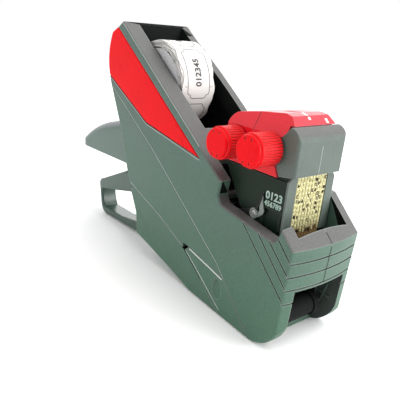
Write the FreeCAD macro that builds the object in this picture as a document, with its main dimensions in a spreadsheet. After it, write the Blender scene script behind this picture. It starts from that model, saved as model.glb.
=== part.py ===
import FreeCAD
import Part
import math
import os
import Sketcher

# Price labeler: a hand-held gun that prints, feeds and applies labels from a roll.
# Millimetres. +Z up, nose towards -Y, X across the gun.
# Places are measured from the seam of the two case halves. The knobs stand out on one side
# only, so every piece is moved by seam_offset to centre the whole gun on the origin.

doc = FreeCAD.newDocument("price_labeler")
sheet = doc.addObject("Spreadsheet::Sheet", "Sizes")


class Term:
    # A number together with the expression that gives it.
    def __init__(self, text, number):
        self.text = text
        self.number = number

    def mix(self, sign, other, number):
        return Term("(" + self.text + " " + sign + " " + term(other).text + ")", number)

    def __add__(self, other):
        return self.mix("+", other, self.number + term(other).number)

    def __sub__(self, other):
        return self.mix("-", other, self.number - term(other).number)

    def __mul__(self, other):
        return self.mix("*", other, self.number * term(other).number)

    def __truediv__(self, other):
        return self.mix("/", other, self.number / term(other).number)

    def __radd__(self, other):
        return term(other) + self

    def __rsub__(self, other):
        return term(other) - self

    def __rmul__(self, other):
        return term(other) * self

    def __neg__(self):
        return term(0.0) - self


class Via:
    # A point that an arc passes through on its way from one corner to the next.
    def __init__(self, point):
        self.point = point


class Circle:
    def __init__(self, centre, radius):
        self.centre = centre
        self.radius = radius


def term(value):
    return value if isinstance(value, Term) else Term("(%r)" % float(value), float(value))


def number(value):
    return term(value).number


def vector(point):
    return FreeCAD.Vector(number(point[0]), number(point[1]), 0)


def bind(thing, prop, value):
    thing.setExpression(prop, term(value).text)


aliases = []


def size(alias, amount):
    aliases.append(alias)
    row = str(len(aliases))
    sheet.set("A" + row, alias)
    sheet.set("B" + row, str(amount))
    sheet.setAlias("B" + row, alias)
    return Term("Sizes." + alias, float(amount))


def place(alias, y, z):
    return (size(alias + "_y", y), size(alias + "_z", z))


def moved(point, first, second):
    return (term(point[0]) + first, term(point[1]) + second)


def between(start, end, share):
    return tuple(term(a) + (term(b) - a) * share for a, b in zip(start, end))


def box_loop(first_low, first_high, second_low, second_high):
    return [(first_low, second_low), (first_high, second_low),
            (first_high, second_high), (first_low, second_high)]


# Overall
half_width = size("half_width", 27.0)
knob_reach = size("knob_reach", 36.0)
wall = size("wall", 2.6)
seam_offset = (knob_reach - half_width) / 2
part_gap = size("part_gap", 0.4)
running_gap = size("running_gap", 0.05)

# Sketch planes: what is drawn on each, and whether its normal follows the axis
planes = {"x": ("YZ_Plane", 1), "y": ("XZ_Plane", -1), "z": ("XY_Plane", 1)}


def new_body(name):
    body = doc.addObject("PartDesign::Body", name)
    body.Label = name
    body.AllowCompound = True
    return body


def new_sketch(body, axis, offset, loops):
    role = planes[axis][0]
    plane = [thing for thing in body.Origin.OriginFeatures if thing.Role == role][0]
    sketch = body.newObject("Sketcher::SketchObject", body.Name + "_sketch")
    sketch.AttachmentSupport = (plane, "")
    sketch.MapMode = "FlatFace"
    bind(sketch, "AttachmentOffset.Base.z", offset)
    for loop in loops:
        if isinstance(loop, Circle):
            draw_circle(sketch, loop)
        else:
            draw_loop(sketch, loop)
    return sketch


def fix_point(sketch, geometry, vertex, point):
    for kind, value in (("DistanceX", point[0]), ("DistanceY", point[1])):
        index = sketch.addConstraint(Sketcher.Constraint(kind, -1, 1, geometry, vertex, number(value)))
        bind(sketch, "Constraints[%d]" % index, value)


def draw_circle(sketch, circle):
    centre = vector(circle.centre)
    shape = Part.Circle(centre, FreeCAD.Vector(0, 0, 1), number(circle.radius))
    index = sketch.addGeometry(shape, False)
    fix_point(sketch, index, 3, circle.centre)
    radius = sketch.addConstraint(Sketcher.Constraint("Radius", index, number(circle.radius)))
    bind(sketch, "Constraints[%d]" % radius, circle.radius)


def draw_loop(sketch, loop):
    spans = []
    for step, item in enumerate(loop):
        if isinstance(item, Via):
            continue
        after = loop[(step + 1) % len(loop)]
        via = after.point if isinstance(after, Via) else None
        end = loop[(step + 2) % len(loop)] if via else after
        spans.append((item, via, end))
    ends = []
    for start, via, end in spans:
        if via is None:
            index = sketch.addGeometry(Part.LineSegment(vector(start), vector(end)), False)
            ends.append((index, 1, 2))
            continue
        turn = (vector(via) - vector(start)).cross(vector(end) - vector(via)).z
        trio = [start, via, end] if turn > 0 else [end, via, start]
        index = sketch.addGeometry(Part.ArcOfCircle(*[vector(point) for point in trio]), False)
        ends.append((index, 1, 2) if turn > 0 else (index, 2, 1))
    for step, (index, first, last) in enumerate(ends):
        following = ends[(step + 1) % len(ends)]
        sketch.addConstraint(Sketcher.Constraint("Coincident", index, last, following[0], following[1]))
        fix_point(sketch, index, first, spans[step][0])
        if spans[step][1] is not None:
            mark = sketch.addGeometry(Part.Point(vector(spans[step][1])), True)
            fix_point(sketch, mark, 1, spans[step][1])
            sketch.addConstraint(Sketcher.Constraint("PointOnObject", mark, 1, index))


def add(body, axis, low, high, *loops):
    straight = planes[axis][1] > 0
    sketch = new_sketch(body, axis, low if straight else -term(high), loops)
    feature = body.newObject("PartDesign::Pad", body.Name + "_pad")
    feature.Profile = sketch
    bind(feature, "Length", term(high) - low)
    body.Tip = feature
    return feature


def cut(body, axis, low, high, *loops):
    straight = planes[axis][1] > 0
    sketch = new_sketch(body, axis, high if straight else -term(low), loops)
    feature = body.newObject("PartDesign::Pocket", body.Name + "_pocket")
    feature.Profile = sketch
    bind(feature, "Length", term(high) - low)
    body.Tip = feature
    return feature


def repeat(body, role, originals, count, length):
    axis = [thing for thing in body.Origin.OriginFeatures if thing.Role == role][0]
    pattern = body.newObject("PartDesign::LinearPattern", body.Name + "_row")
    pattern.Originals = originals
    pattern.Direction = (axis, [""])
    bind(pattern, "Occurrences", count)
    bind(pattern, "Length", length)
    body.Tip = pattern
    return pattern


def repeat_round(body, role, originals, count):
    axis = [thing for thing in body.Origin.OriginFeatures if thing.Role == role][0]
    pattern = body.newObject("PartDesign::PolarPattern", body.Name + "_ring")
    pattern.Originals = originals
    pattern.Axis = (axis, [""])
    pattern.Angle = 360
    bind(pattern, "Occurrences", count)
    body.Tip = pattern
    return pattern


def round_edges(body, radius, wanted):
    doc.recompute()
    base = body.Tip
    names = ["Edge%d" % (index + 1) for index, edge in enumerate(base.Shape.Edges) if wanted(edge)]
    feature = body.newObject("PartDesign::Fillet", body.Name + "_round")
    feature.Base = (base, names)
    bind(feature, "Radius", radius)
    body.Tip = feature
    return feature


def near(first, second):
    return abs(first - second) < 0.01


# Edges on the outer side face, apart from those that end at one of the points to avoid
def side_edges(x, avoid=()):
    def wanted(edge):
        if not all(near(abs(vertex.X), number(x)) for vertex in edge.Vertexes):
            return False
        return not any(near(vertex.Y, number(y)) and near(vertex.Z, number(z))
                       for vertex in edge.Vertexes for y, z in avoid)
    return wanted


def along_x(*points):
    def wanted(edge):
        box = edge.BoundBox
        if box.YLength > 1e-4 or box.ZLength > 1e-4 or box.XLength < 0.5:
            return False
        return any(near(box.YMin, number(y)) and near(box.ZMin, number(z)) for y, z in points)
    return wanted


nodes = []


def node(thing, name):
    thing.Label = name
    bind(thing, "Placement.Base.x", seam_offset)
    nodes.append((name, thing))
    return thing


def rod(name, low, high, centre, radius):
    body = new_body(name)
    add(body, "x", low, high, Circle(centre, radius))
    return node(body, name)


def join(name, things):
    fused = doc.addObject("Part::MultiFuse", name)
    fused.Shapes = things
    return fused


def take_away(name, base, tool):
    rest = doc.addObject("Part::Cut", name)
    rest.Base = base
    rest.Tool = tool
    return rest


# Case outline, seen from the right: (y, z) of each corner
bar_top = place("bar_top", 40.4, 154.3)
bar_rear = place("bar_rear", 50.5, 147.6)
rear_bulge = place("rear_bulge", 55.7, 135.0)
rear_corner = place("rear_corner", 53.2, 116.8)
back_bend = place("back_bend", 40.6, 88.2)
back_low = place("back_low", 30.5, 54.5)
parting_rear = place("parting_rear", 27.5, 48.9)
parting_middle = place("parting_middle", -11.8, 37.4)
parting_front = place("parting_front", -38.0, 27.3)
belly_rear_y = size("belly_rear_y", -101.8)
belly_front_y = size("belly_front_y", -106.0)
nose_low = place("nose_low", -115.2, 5.0)
nose_front = place("nose_front", -122.0, 18.0)
bow_side_y = size("bow_side_y", -122.6)
bow_middle_y = size("bow_middle_y", -125.6)
bow_allowance = size("bow_allowance", 0.6)
nose_upper_z = size("nose_upper_z", 31.0)
front_top_z = size("front_top_z", 60.0)
rim_peak = place("rim_peak", -114.8, 70.0)
notch_front = place("notch_front", -110.6, 60.0)
notch_rear = place("notch_rear", -69.6, 66.2)
notch_wall = place("notch_wall", -66.6, 70.5)
notch_round = size("notch_round", 3.0)
slant_low = place("slant_low", -68.0, 79.0)
far_front_z = size("far_front_z", 76.6)
far_rim = place("far_rim", -13.8, 119.2)
crease_rear = place("crease_rear", 50.3, 112.1)
crease_upper = place("crease_upper", -2.9, 80.0)
crease_lower = place("crease_lower", -71.5, 32.3)
crease_front = place("crease_front", -101.4, 1.1)
taper_depth = size("taper_depth", 4.0)
taper_run = place("taper_run", 27.9, -39.8)
corner_round = size("corner_round", 1.6)
far = 200.0

# Catch outline, which the case is cut back from
catch_gap_top = place("catch_gap_top", -38.6, 30.8)
catch_rear_low = place("catch_rear_low", -40.6, 26.5)
catch_rear_top = place("catch_rear_top", -44.6, 29.9)
catch_front_top = place("catch_front_top", -77.3, 24.4)
catch_shoulder = place("catch_shoulder", -79.0, 24.2)
catch_tip_low = place("catch_tip_low", -100.9, 1.6)
catch_foot_z = size("catch_foot_z", 0.5)
catch_low_y = size("catch_low_y", -76.9)

# Hollow of the case
beam_depth = size("beam_depth", 9.7)
bar_inner_y = size("bar_inner_y", 38.7)
bar_floor_z = size("bar_floor_z", 138.0)
front_inner_y = size("front_inner_y", -119.2)
notch_beam = size("notch_beam", 6.5)
roll_bay_low_x = size("roll_bay_low_x", -15.0)
roll_bay_high_x = size("roll_bay_high_x", 20.0)
roll_bay_front_y = size("roll_bay_front_y", -37.0)
head_bay_half = size("head_bay_half", 19.6)
mouth_half = size("mouth_half", 20.0)
mouth_top_z = size("mouth_top_z", 36.8)
mouth_rear_y = size("mouth_rear_y", -104.0)
chin_thick = size("chin_thick", 3.0)
lever_slot_half = size("lever_slot_half", 8.2)
lever_slot_low_z = size("lever_slot_low_z", 40.0)
lever_slot_top_z = size("lever_slot_top_z", 71.0)
belly_plate_half = size("belly_plate_half", 19.4)

catch_edge = [catch_gap_top, moved(catch_rear_top, 0, part_gap * 1.2), moved(catch_front_top, 0, part_gap),
              moved(catch_shoulder, -part_gap / 2, part_gap), moved(catch_tip_low, -part_gap, part_gap)]
parting_corners = [parting_rear, parting_front, *catch_edge]


def slant_at(y, drop):
    slope = (bar_top[1] - slant_low[1]) / (bar_top[0] - slant_low[0])
    return (term(y), slant_low[1] + (term(y) - slant_low[0]) * slope - drop)


def case_outline(side):
    lower = [bar_top, bar_rear, Via(rear_bulge), rear_corner, back_bend, back_low, parting_rear,
             Via(parting_middle), parting_front, *catch_edge, (belly_rear_y, 0.0), (belly_front_y, 0.0),
             Via(nose_low), nose_front, (bow_middle_y - bow_allowance, nose_upper_z)]
    if side < 0:
        return lower + [(bow_middle_y - bow_allowance, rim_peak[1]), rim_peak, notch_front,
                        notch_rear, notch_wall, slant_low]
    return lower + [(bow_middle_y - bow_allowance, far_front_z), slant_low]


# The front is bowed: this is what lies in front of it, seen from above
def bow_loop(inward):
    outside = half_width * 2
    return [(-outside, bow_side_y + inward), (-half_width, bow_side_y + inward),
            Via((0.0, bow_middle_y + inward)), (half_width, bow_side_y + inward),
            (outside, bow_side_y + inward), (outside, -far), (-outside, -far)]


rim_slope_y = size("rim_slope_y", 8.6)
rim_slope_z = size("rim_slope_z", 8.0)
front_lean = size("front_lean", 0.05)


def sweep_bow(body, direction_y, direction_z):
    sketch = new_sketch(body, "z", front_top_z, [bow_loop(0.0)])
    feature = body.newObject("PartDesign::Pocket", body.Name + "_bow")
    feature.Profile = sketch
    feature.UseCustomVector = True
    feature.Direction = FreeCAD.Vector(0, number(direction_y), number(direction_z))
    bind(feature, "Direction.y", direction_y)
    bind(feature, "Direction.z", direction_z)
    bind(feature, "Length", front_top_z * 2)
    body.Tip = feature


# The lower side leans in below the crease: a wedge with its edge on the crease
def taper(body, side, inset):
    over = 1.0
    sections = []
    run = [term(value) / taper_depth for value in taper_run]
    for depth in (-over, taper_depth):
        shift = [value * depth for value in run]
        line = [moved(crease_rear, 15.7, 9.5), crease_rear, crease_upper, crease_lower, crease_front,
                moved(crease_front, -6.6, -6.9)]
        corners = line + [(line[-1][0], -far / 2), (far * 0.75, -far / 2), (far * 0.75, line[0][1])]
        loop = [moved(corner, *shift) for corner in corners]
        sections.append(new_sketch(body, "x", (half_width - inset - depth) * side, [loop]))
    feature = body.newObject("PartDesign::SubtractiveLoft", body.Name + "_taper")
    feature.Profile = sections[0]
    feature.Sections = [sections[1]]
    feature.Ruled = True
    body.Tip = feature


# Red side panel, set in a recess
panel_thick = size("panel_thick", 1.2)
panel_top = place("panel_top", 45.2, 150.3)
panel_low_rear = place("panel_low_rear", 54.0, 118.9)
panel_kink = place("panel_kink", 6.7, 95.6)
panel_tip = place("panel_tip", -47.9, 86.6)

# Grooves round the front: height at the front corner, and where each starts on the rim
groove_depth = size("groove_depth", 0.6)
groove_width = size("groove_width", 0.9)
groove_heights = [size("groove_height_%d" % count, value)
                  for count, value in ((1, 30.0), (2, 37.9), (3, 45.4), (4, 52.8))]
groove_starts = [place("groove_start_1", -84.3, 63.9), place("groove_start_2", -95.9, 62.4),
                 place("groove_start_3", -104.0, 60.8), place("groove_start_4", -111.6, 62.4)]


def side_range(side, outer, inner):
    return (-outer, -inner) if side < 0 else (term(inner), term(outer))


def outer_case(side):
    body = new_body("outer_case_" + ("right" if side < 0 else "left"))
    add(body, "x", *side_range(side, half_width, 0.0), case_outline(side))
    sweep_bow(body, front_lean, term(-1.0))
    sweep_bow(body, rim_slope_y, rim_slope_z)
    if side < 0:
        round_edges(body, notch_round, along_x(notch_front, notch_rear, notch_wall))
    sharp = parting_corners + [(belly_rear_y, 0.0), rear_corner]
    round_edges(body, corner_round, side_edges(half_width, sharp))
    taper(body, side, 0.0)
    recess = [moved(panel_top, -part_gap, part_gap), (half_width * 3, panel_top[1] + part_gap),
              (half_width * 3, panel_low_rear[1] - part_gap), moved(panel_low_rear, 0, -part_gap),
              moved(panel_kink, 0, -part_gap), moved(panel_tip, -part_gap * 3, -part_gap * 0.6),
              moved(panel_tip, -part_gap * 3, 0)]
    skin = side_range(side, half_width, half_width - panel_thick)
    cut(body, "x", *skin, recess)
    groove_skin = side_range(side, half_width, half_width - groove_depth)
    for start, height in zip(groove_starts, groove_heights):
        front = (bow_side_y - bow_allowance, height)
        strip = [moved(start, 0, groove_width * 2), front, moved(front, 0, groove_width),
                 moved(start, -groove_width, groove_width * 2)]
        cut(body, "x", *groove_skin, strip)
        depth = groove_depth + (front_top_z - height) * front_lean
        cut(body, "z", height, height + groove_width, bow_loop(depth))
    return body


def case_hollow():
    body = new_body("case_hollow")
    inner = half_width - wall
    rear = wall * 1.05
    outline = [(front_inner_y, notch_front[1] - notch_beam), moved(notch_rear, 0, -notch_beam),
               slant_at(slant_low[0] + wall * 2, beam_depth), slant_at(bar_inner_y, beam_depth),
               (bar_inner_y, bar_floor_z), (rear_bulge[0] - rear, bar_floor_z),
               moved(rear_corner, -rear, 0), moved(back_bend, -rear, 0), moved(back_low, -rear, 0),
               (back_low[0] - rear, 20.0), (0.0, -4.0), (catch_low_y - part_gap, -4.0),
               (catch_low_y - part_gap, chin_thick), (mouth_rear_y, chin_thick),
               (mouth_rear_y, mouth_top_z), (front_inner_y, mouth_top_z)]
    add(body, "x", -inner, inner, outline)
    taper(body, -1, wall)
    taper(body, 1, wall)
    roll_bay = [slant_at(roll_bay_front_y, beam_depth + wall), slant_at(roll_bay_front_y, -far / 4),
                slant_at(bar_inner_y, -far / 4), slant_at(bar_inner_y, beam_depth + wall)]
    add(body, "x", roll_bay_low_x, roll_bay_high_x, roll_bay)
    head_bay = [(front_inner_y, notch_front[1] - notch_beam - wall), (front_inner_y, far / 2),
                (roll_bay_front_y, far / 2 + wall * 9), slant_at(roll_bay_front_y, beam_depth + wall),
                slant_at(slant_low[0] + wall * 2, beam_depth + wall),
                moved(notch_rear, 0, -notch_beam - wall)]
    add(body, "x", -head_bay_half, head_bay_half, head_bay)
    add(body, "x", -mouth_half, mouth_half,
        box_loop(-far * 0.75, belly_front_y - 1, -4.0, mouth_top_z))
    add(body, "x", -mouth_half, mouth_half,
        box_loop(front_inner_y, mouth_rear_y + 1, chin_thick, mouth_top_z + wall * 3))
    add(body, "x", -lever_slot_half, lever_slot_half,
        box_loop(0.0, half_width * 2, lever_slot_low_z, lever_slot_top_z))
    return body


# Label roll: where it hangs, and how it is wound
roll_centre = place("roll_centre", 17.0, 118.6)
roll_radius = size("roll_radius", 27.4)
roll_half = size("roll_half", 13.0)
roll_turns = size("roll_turns", 4)
roll_pitch = size("roll_pitch", 1.15)
roll_layer = size("roll_layer", 0.62)
roll_leave_angle = size("roll_leave_angle", -49.3)
core_outer = size("core_outer", 12.6)
core_inner = size("core_inner", 11.2)
hub_flange = size("hub_flange", 14.5)
hub_flange_thick = size("hub_flange_thick", 1.2)
hub_reach = size("hub_reach", 6.0)
roll_axle_radius = size("roll_axle_radius", 4.0)
roll_rib_rise = size("roll_rib_rise", 2.0)
roll_body_radius = roll_radius - roll_pitch * (roll_turns + 0.25) - roll_layer - running_gap / 2

# Lever and its pivot
pivot = place("pivot", -39.0, 48.0)
pivot_radius = size("pivot_radius", 3.0)
pivot_boss = size("pivot_boss", 6.4)
lever_half = size("lever_half", 6.7)
yoke_half = size("yoke_half", 18.0)
arm_thick = size("arm_thick", 2.5)
arm_half_height = size("arm_half_height", 4.0)
yoke_front_y = size("yoke_front_y", 4.0)
yoke_rear_y = size("yoke_rear_y", 14.0)
yoke_low_z = size("yoke_low_z", 40.0)
yoke_top_z = size("yoke_top_z", 51.2)
drive_pin_y = size("drive_pin_y", -80.0)
drive_pin_radius = size("drive_pin_radius", 2.0)
drive_slot_half = size("drive_slot_half", 2.6)
slot_gap = size("slot_gap", 0.3)

# Print head
head_half = size("head_half", 18.0)
frame_inner = size("frame_inner", 13.0)
frame_skin = size("frame_skin", 1.0)
front_axis = place("front_axis", -93.4, 102.8)
rear_axis = place("rear_axis", -68.5, 100.6)
front_wheel = size("front_wheel", 12.4)
rear_wheel = size("rear_wheel", 5.9)
band_thick = size("band_thick", 1.2)
band_count = size("band_count", 10)
band_pitch = size("band_pitch", 2.3)
band_space = size("band_space", 0.25)
front_anvil = place("front_anvil", -102.5, 48.0)
rear_anvil = place("rear_anvil", -88.5, 47.8)
front_anvil_radius = size("front_anvil_radius", 3.3)
rear_anvil_radius = size("rear_anvil_radius", 3.1)
selector_radius = size("selector_radius", 2.5)
pinion_radius = size("pinion_radius", 3.6)
pinion_wide = size("pinion_wide", 2.0)
knob_radius = size("knob_radius", 8.75)
knob_base = size("knob_base", 19.9)
rear_knob_reach = size("rear_knob_reach", 34.0)
rib_count = size("rib_count", 36)

# Platen, feed and applicator
platen_top_z = size("platen_top_z", 33.8)
platen_rear_y = size("platen_rear_y", -70.0)
platen_front_y = size("platen_front_y", -112.0)
platen_half = size("platen_half", 13.4)
ear_top_z = size("ear_top_z", 32.4)
platen_low_z = size("platen_low_z", 30.6)
feed_axis = place("feed_axis", -92.0, 20.4)
feed_radius = size("feed_radius", 9.0)
feed_half = size("feed_half", 9.0)
feed_shaft_radius = size("feed_shaft_radius", 2.0)
roller_axis = place("roller_axis", -108.3, 14.0)
roller_radius = size("roller_radius", 7.0)
roller_axle_radius = size("roller_axle_radius", 1.6)

# Bottom flap and catches
flap_axis = place("flap_axis", 21.3, 42.2)
flap_corner = size("flap_corner", 4.75)
flap_pin_radius = size("flap_pin_radius", 1.8)
flap_pin_reach = size("flap_pin_reach", 22.0)
flap_rear_low = place("flap_rear_low", 19.0, 30.0)
flap_heel = place("flap_heel", 16.5, 15.3)
flap_belly = place("flap_belly", -46.2, 0.8)
flap_toe = place("flap_toe", -76.2, 0.5)
flap_front = place("flap_front", -39.7, 26.1)
flap_inner_half = size("flap_inner_half", 20.4)
flap_wall = size("flap_wall", 2.4)
catch_thick = size("catch_thick", 3.4)
bracket_outer = size("bracket_outer", 19.4)
bracket_inner = size("bracket_inner", 14.6)
catch_pin = place("catch_pin", -84.0, 8.5)
catch_pin_radius = size("catch_pin_radius", 1.5)
catch_spring_radius = size("catch_spring_radius", 2.7)
catch_overlap = size("catch_overlap", 0.4)
dish_top = place("dish_top", -74.4, 22.8)
dish_front = place("dish_front", -77.3, 16.5)
dish_low = place("dish_low", -73.8, 8.6)
dish_rear = place("dish_rear", -69.6, 14.6)
dish_depth = size("dish_depth", 1.6)

# Screws that hold the two halves together
screw_places = [place("screw_1", 45.0, 145.6), place("screw_2", 30.0, 84.0),
                place("screw_3", -28.0, 84.0), place("screw_4", -52.0, 62.0)]
screw_boss = size("screw_boss", 4.0)
screw_radius = size("screw_radius", 1.4)
screw_head_radius = size("screw_head_radius", 2.8)
screw_head_low_x = size("screw_head_low_x", 24.0)
screw_head_thick = size("screw_head_thick", 1.6)
screw_reach = size("screw_reach", 8.0)
socket_reach = size("socket_reach", 25.6)


# Inside each case half
post_overlap = size("post_overlap", 0.6)
lug_clear = size("lug_clear", 0.3)
lug_thick = size("lug_thick", 1.8)
lug_half = size("lug_half", 3.9)
lug_rise = size("lug_rise", 5.2)
shelf_rise = size("shelf_rise", 1.0)
bracket_half = size("bracket_half", 4.0)
rib_width = size("rib_width", 1.6)
rib_root = size("rib_root", 24.9)
front_rib_rise = size("front_rib_rise", 3.0)
front_ribs = [(place("front_rib_low_rear", -8.0, 62.0), place("front_rib_top_front", -30.0, 76.0)),
              (place("front_rib_low_front", -30.0, 62.0), place("front_rib_top_rear", -8.0, 76.0))]
bay_ribs = [(place("bay_rib_low_front", -2.0, 98.0), place("bay_rib_top_rear", 36.0, 130.0)),
            (place("bay_rib_top_front", 2.0, 118.0), place("bay_rib_low_rear", 36.0, 100.0))]
rear_bar_front_y = size("rear_bar_front_y", -56.0)
rear_bar_thick = size("rear_bar_thick", 3.0)
rear_bar_reach = size("rear_bar_reach", 22.0)


# What stands inside each case half: posts, flap lug, floor plate, catch bracket, bar and ribs
def case_fittings(side):
    body = new_body("case_fittings_" + ("right" if side < 0 else "left"))
    for centre in screw_places[1:]:
        add(body, "x", *side_range(side, half_width - wall + post_overlap, 0.0), Circle(centre, screw_boss))
    lug_outer = flap_inner_half - lug_clear
    lug_inner = lug_outer - lug_thick
    top = parting_rear[1] + lug_rise
    lug_loop = [(flap_axis[0] - lug_half, flap_axis[1]), Via((flap_axis[0], flap_axis[1] - lug_half)),
                (flap_axis[0] + lug_half, flap_axis[1]), (flap_axis[0] + lug_half, top),
                (flap_axis[0] - lug_half, top)]
    add(body, "x", *side_range(side, lug_outer, lug_inner), lug_loop)
    shelf = box_loop(flap_axis[0] - lug_half, flap_axis[0] + lug_half, parting_rear[1] + shelf_rise, top)
    add(body, "x", *side_range(side, half_width - taper_depth, lug_inner), shelf)
    plate = box_loop(catch_low_y - part_gap, belly_rear_y - 1.0, 0.0, chin_thick)
    add(body, "x", *side_range(side, belly_plate_half, 0.0), plate)
    bracket = box_loop(catch_pin[0] - bracket_half, catch_pin[0] + bracket_half, chin_thick / 2,
                       catch_pin[1] + bracket_half)
    add(body, "x", *side_range(side, bracket_outer, bracket_inner), bracket)
    bar = [slant_at(rear_bar_front_y, rear_bar_thick), slant_at(rear_bar_front_y, 0.0),
           slant_at(roll_bay_front_y, 0.0), slant_at(roll_bay_front_y, rear_bar_thick)]
    add(body, "x", *side_range(side, rear_bar_reach, 0.0), bar)
    for ribs, rise in ((front_ribs, front_rib_rise), (bay_ribs, roll_rib_rise)):
        sides = side_range(side, rib_root, half_width - wall - rise)
        for start, end in ribs:
            add(body, "x", *sides, [start, end, moved(end, 0, rib_width), moved(start, 0, rib_width)])
    if side > 0:
        rise = [slant_at(slant_low[0] + wall, wall / 4), Via(far_rim), slant_at(bar_top[0] - wall, wall / 4),
                slant_at(far_rim[0], wall * 2)]
        add(body, "x", roll_bay_high_x, half_width - corner_round, rise)
    return body


def case_bores():
    body = new_body("case_bores")
    sockets = [(roll_centre, roll_axle_radius, socket_reach), (pivot, pivot_radius, socket_reach - 1),
               (feed_axis, feed_shaft_radius, socket_reach), (roller_axis, roller_axle_radius, socket_reach)]
    for centre, radius, reach in sockets:
        add(body, "x", -term(reach), reach, Circle(centre, radius + running_gap / 2))
    for centre in screw_places:
        add(body, "x", -screw_reach - 1, half_width, Circle(centre, screw_radius + running_gap / 2))
        add(body, "x", screw_head_low_x, half_width + 1, Circle(centre, screw_head_radius + 0.2))
    for side in (-1, 1):
        add(body, "x", *side_range(side, flap_inner_half, flap_inner_half - 3.0),
            Circle(flap_axis, flap_pin_radius + running_gap / 2))
        add(body, "x", *side_range(side, bracket_outer + 1, bracket_inner + 0.8),
            Circle(catch_pin, catch_spring_radius + 0.3))
    return body


def make_case():
    hollow = case_hollow()
    bores = case_bores()
    for side, name in ((-1, "right"), (1, "left")):
        blank = take_away("case_blank_" + name, outer_case(side), hollow)
        filled = join("case_filled_" + name, [blank, case_fittings(side)])
        node(take_away(name + "_shell", filled, bores), name + "_shell")


def side_panel(side, name):
    body = new_body(name)
    rear_mid = (rear_bulge[0] - 0.1, rear_bulge[1])
    outline = [panel_top, (bar_rear[0] + 1.2, panel_top[1] - 3.4), Via(rear_mid), panel_low_rear,
               panel_kink, panel_tip]
    add(body, "x", *side_range(side, half_width, half_width - panel_thick), outline)
    round_edges(body, panel_thick / 2, long_side_edges(half_width, (panel_low_rear[0] - panel_kink[0]) * 0.7))
    node(body, name)


def long_side_edges(x, length):
    def wanted(edge):
        return side_edges(x)(edge) and edge.Length > number(length)
    return wanted


def handle():
    body = new_body("handle")
    half = size("handle_half", 14.0)
    top_front = place("handle_top_front", 85.5, 79.0)
    crown = place("handle_crown", 104.4, 71.0)
    tip = place("handle_tip", 125.6, 56.4)
    tip_low = place("handle_tip_low", 124.6, 53.6)
    under = place("handle_under", 49.6, 56.0)
    shoulder = place("handle_shoulder", 60.0, 86.2)
    blank_low = under[1] - half * 2
    blank = [(back_low[0], blank_low), back_low, back_bend, shoulder, top_front, Via(crown), tip,
             (tip[0], blank_low)]
    add(body, "x", -half, half, blank)
    round_edges(body, size("handle_round", 7.0), side_edges_above(half, under[1], half))
    below = [(-far, back_low[1]), back_low, under, tip_low, (far, tip_low[1]), (far, -far), (-far, -far)]
    cut(body, "x", -half, half, below)
    reach_y = tip[0] - half
    cheek = [(-half * 1.5, reach_y), (-half, reach_y), Via((0.0, tip[0])), (half, reach_y),
             (half * 1.5, reach_y), (half * 1.5, far), (-half * 1.5, far)]
    cut(body, "z", 0.0, far, cheek)
    channel_half = size("handle_channel_half", 8.0)
    channel_front = place("handle_channel_front", 27.9, 70.8)
    channel_top = place("handle_channel_top", 73.5, 71.8)
    channel_crown = place("handle_channel_crown", 104.4, 65.8)
    channel_rear = place("handle_channel_rear", 116.6, 59.0)
    channel = [(channel_front[0], blank_low), channel_front, channel_top, channel_crown, channel_rear,
               (channel_rear[0], blank_low)]
    cut(body, "x", -channel_half, channel_half, channel)
    node(body, "handle")


# Edges of the side faces that run lengthwise above a height
def side_edges_above(x, z, length):
    def wanted(edge):
        box = edge.BoundBox
        flat = all(near(abs(vertex.X), number(x)) for vertex in edge.Vertexes)
        return flat and box.ZMin > number(z) and box.YLength > number(length)
    return wanted


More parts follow.
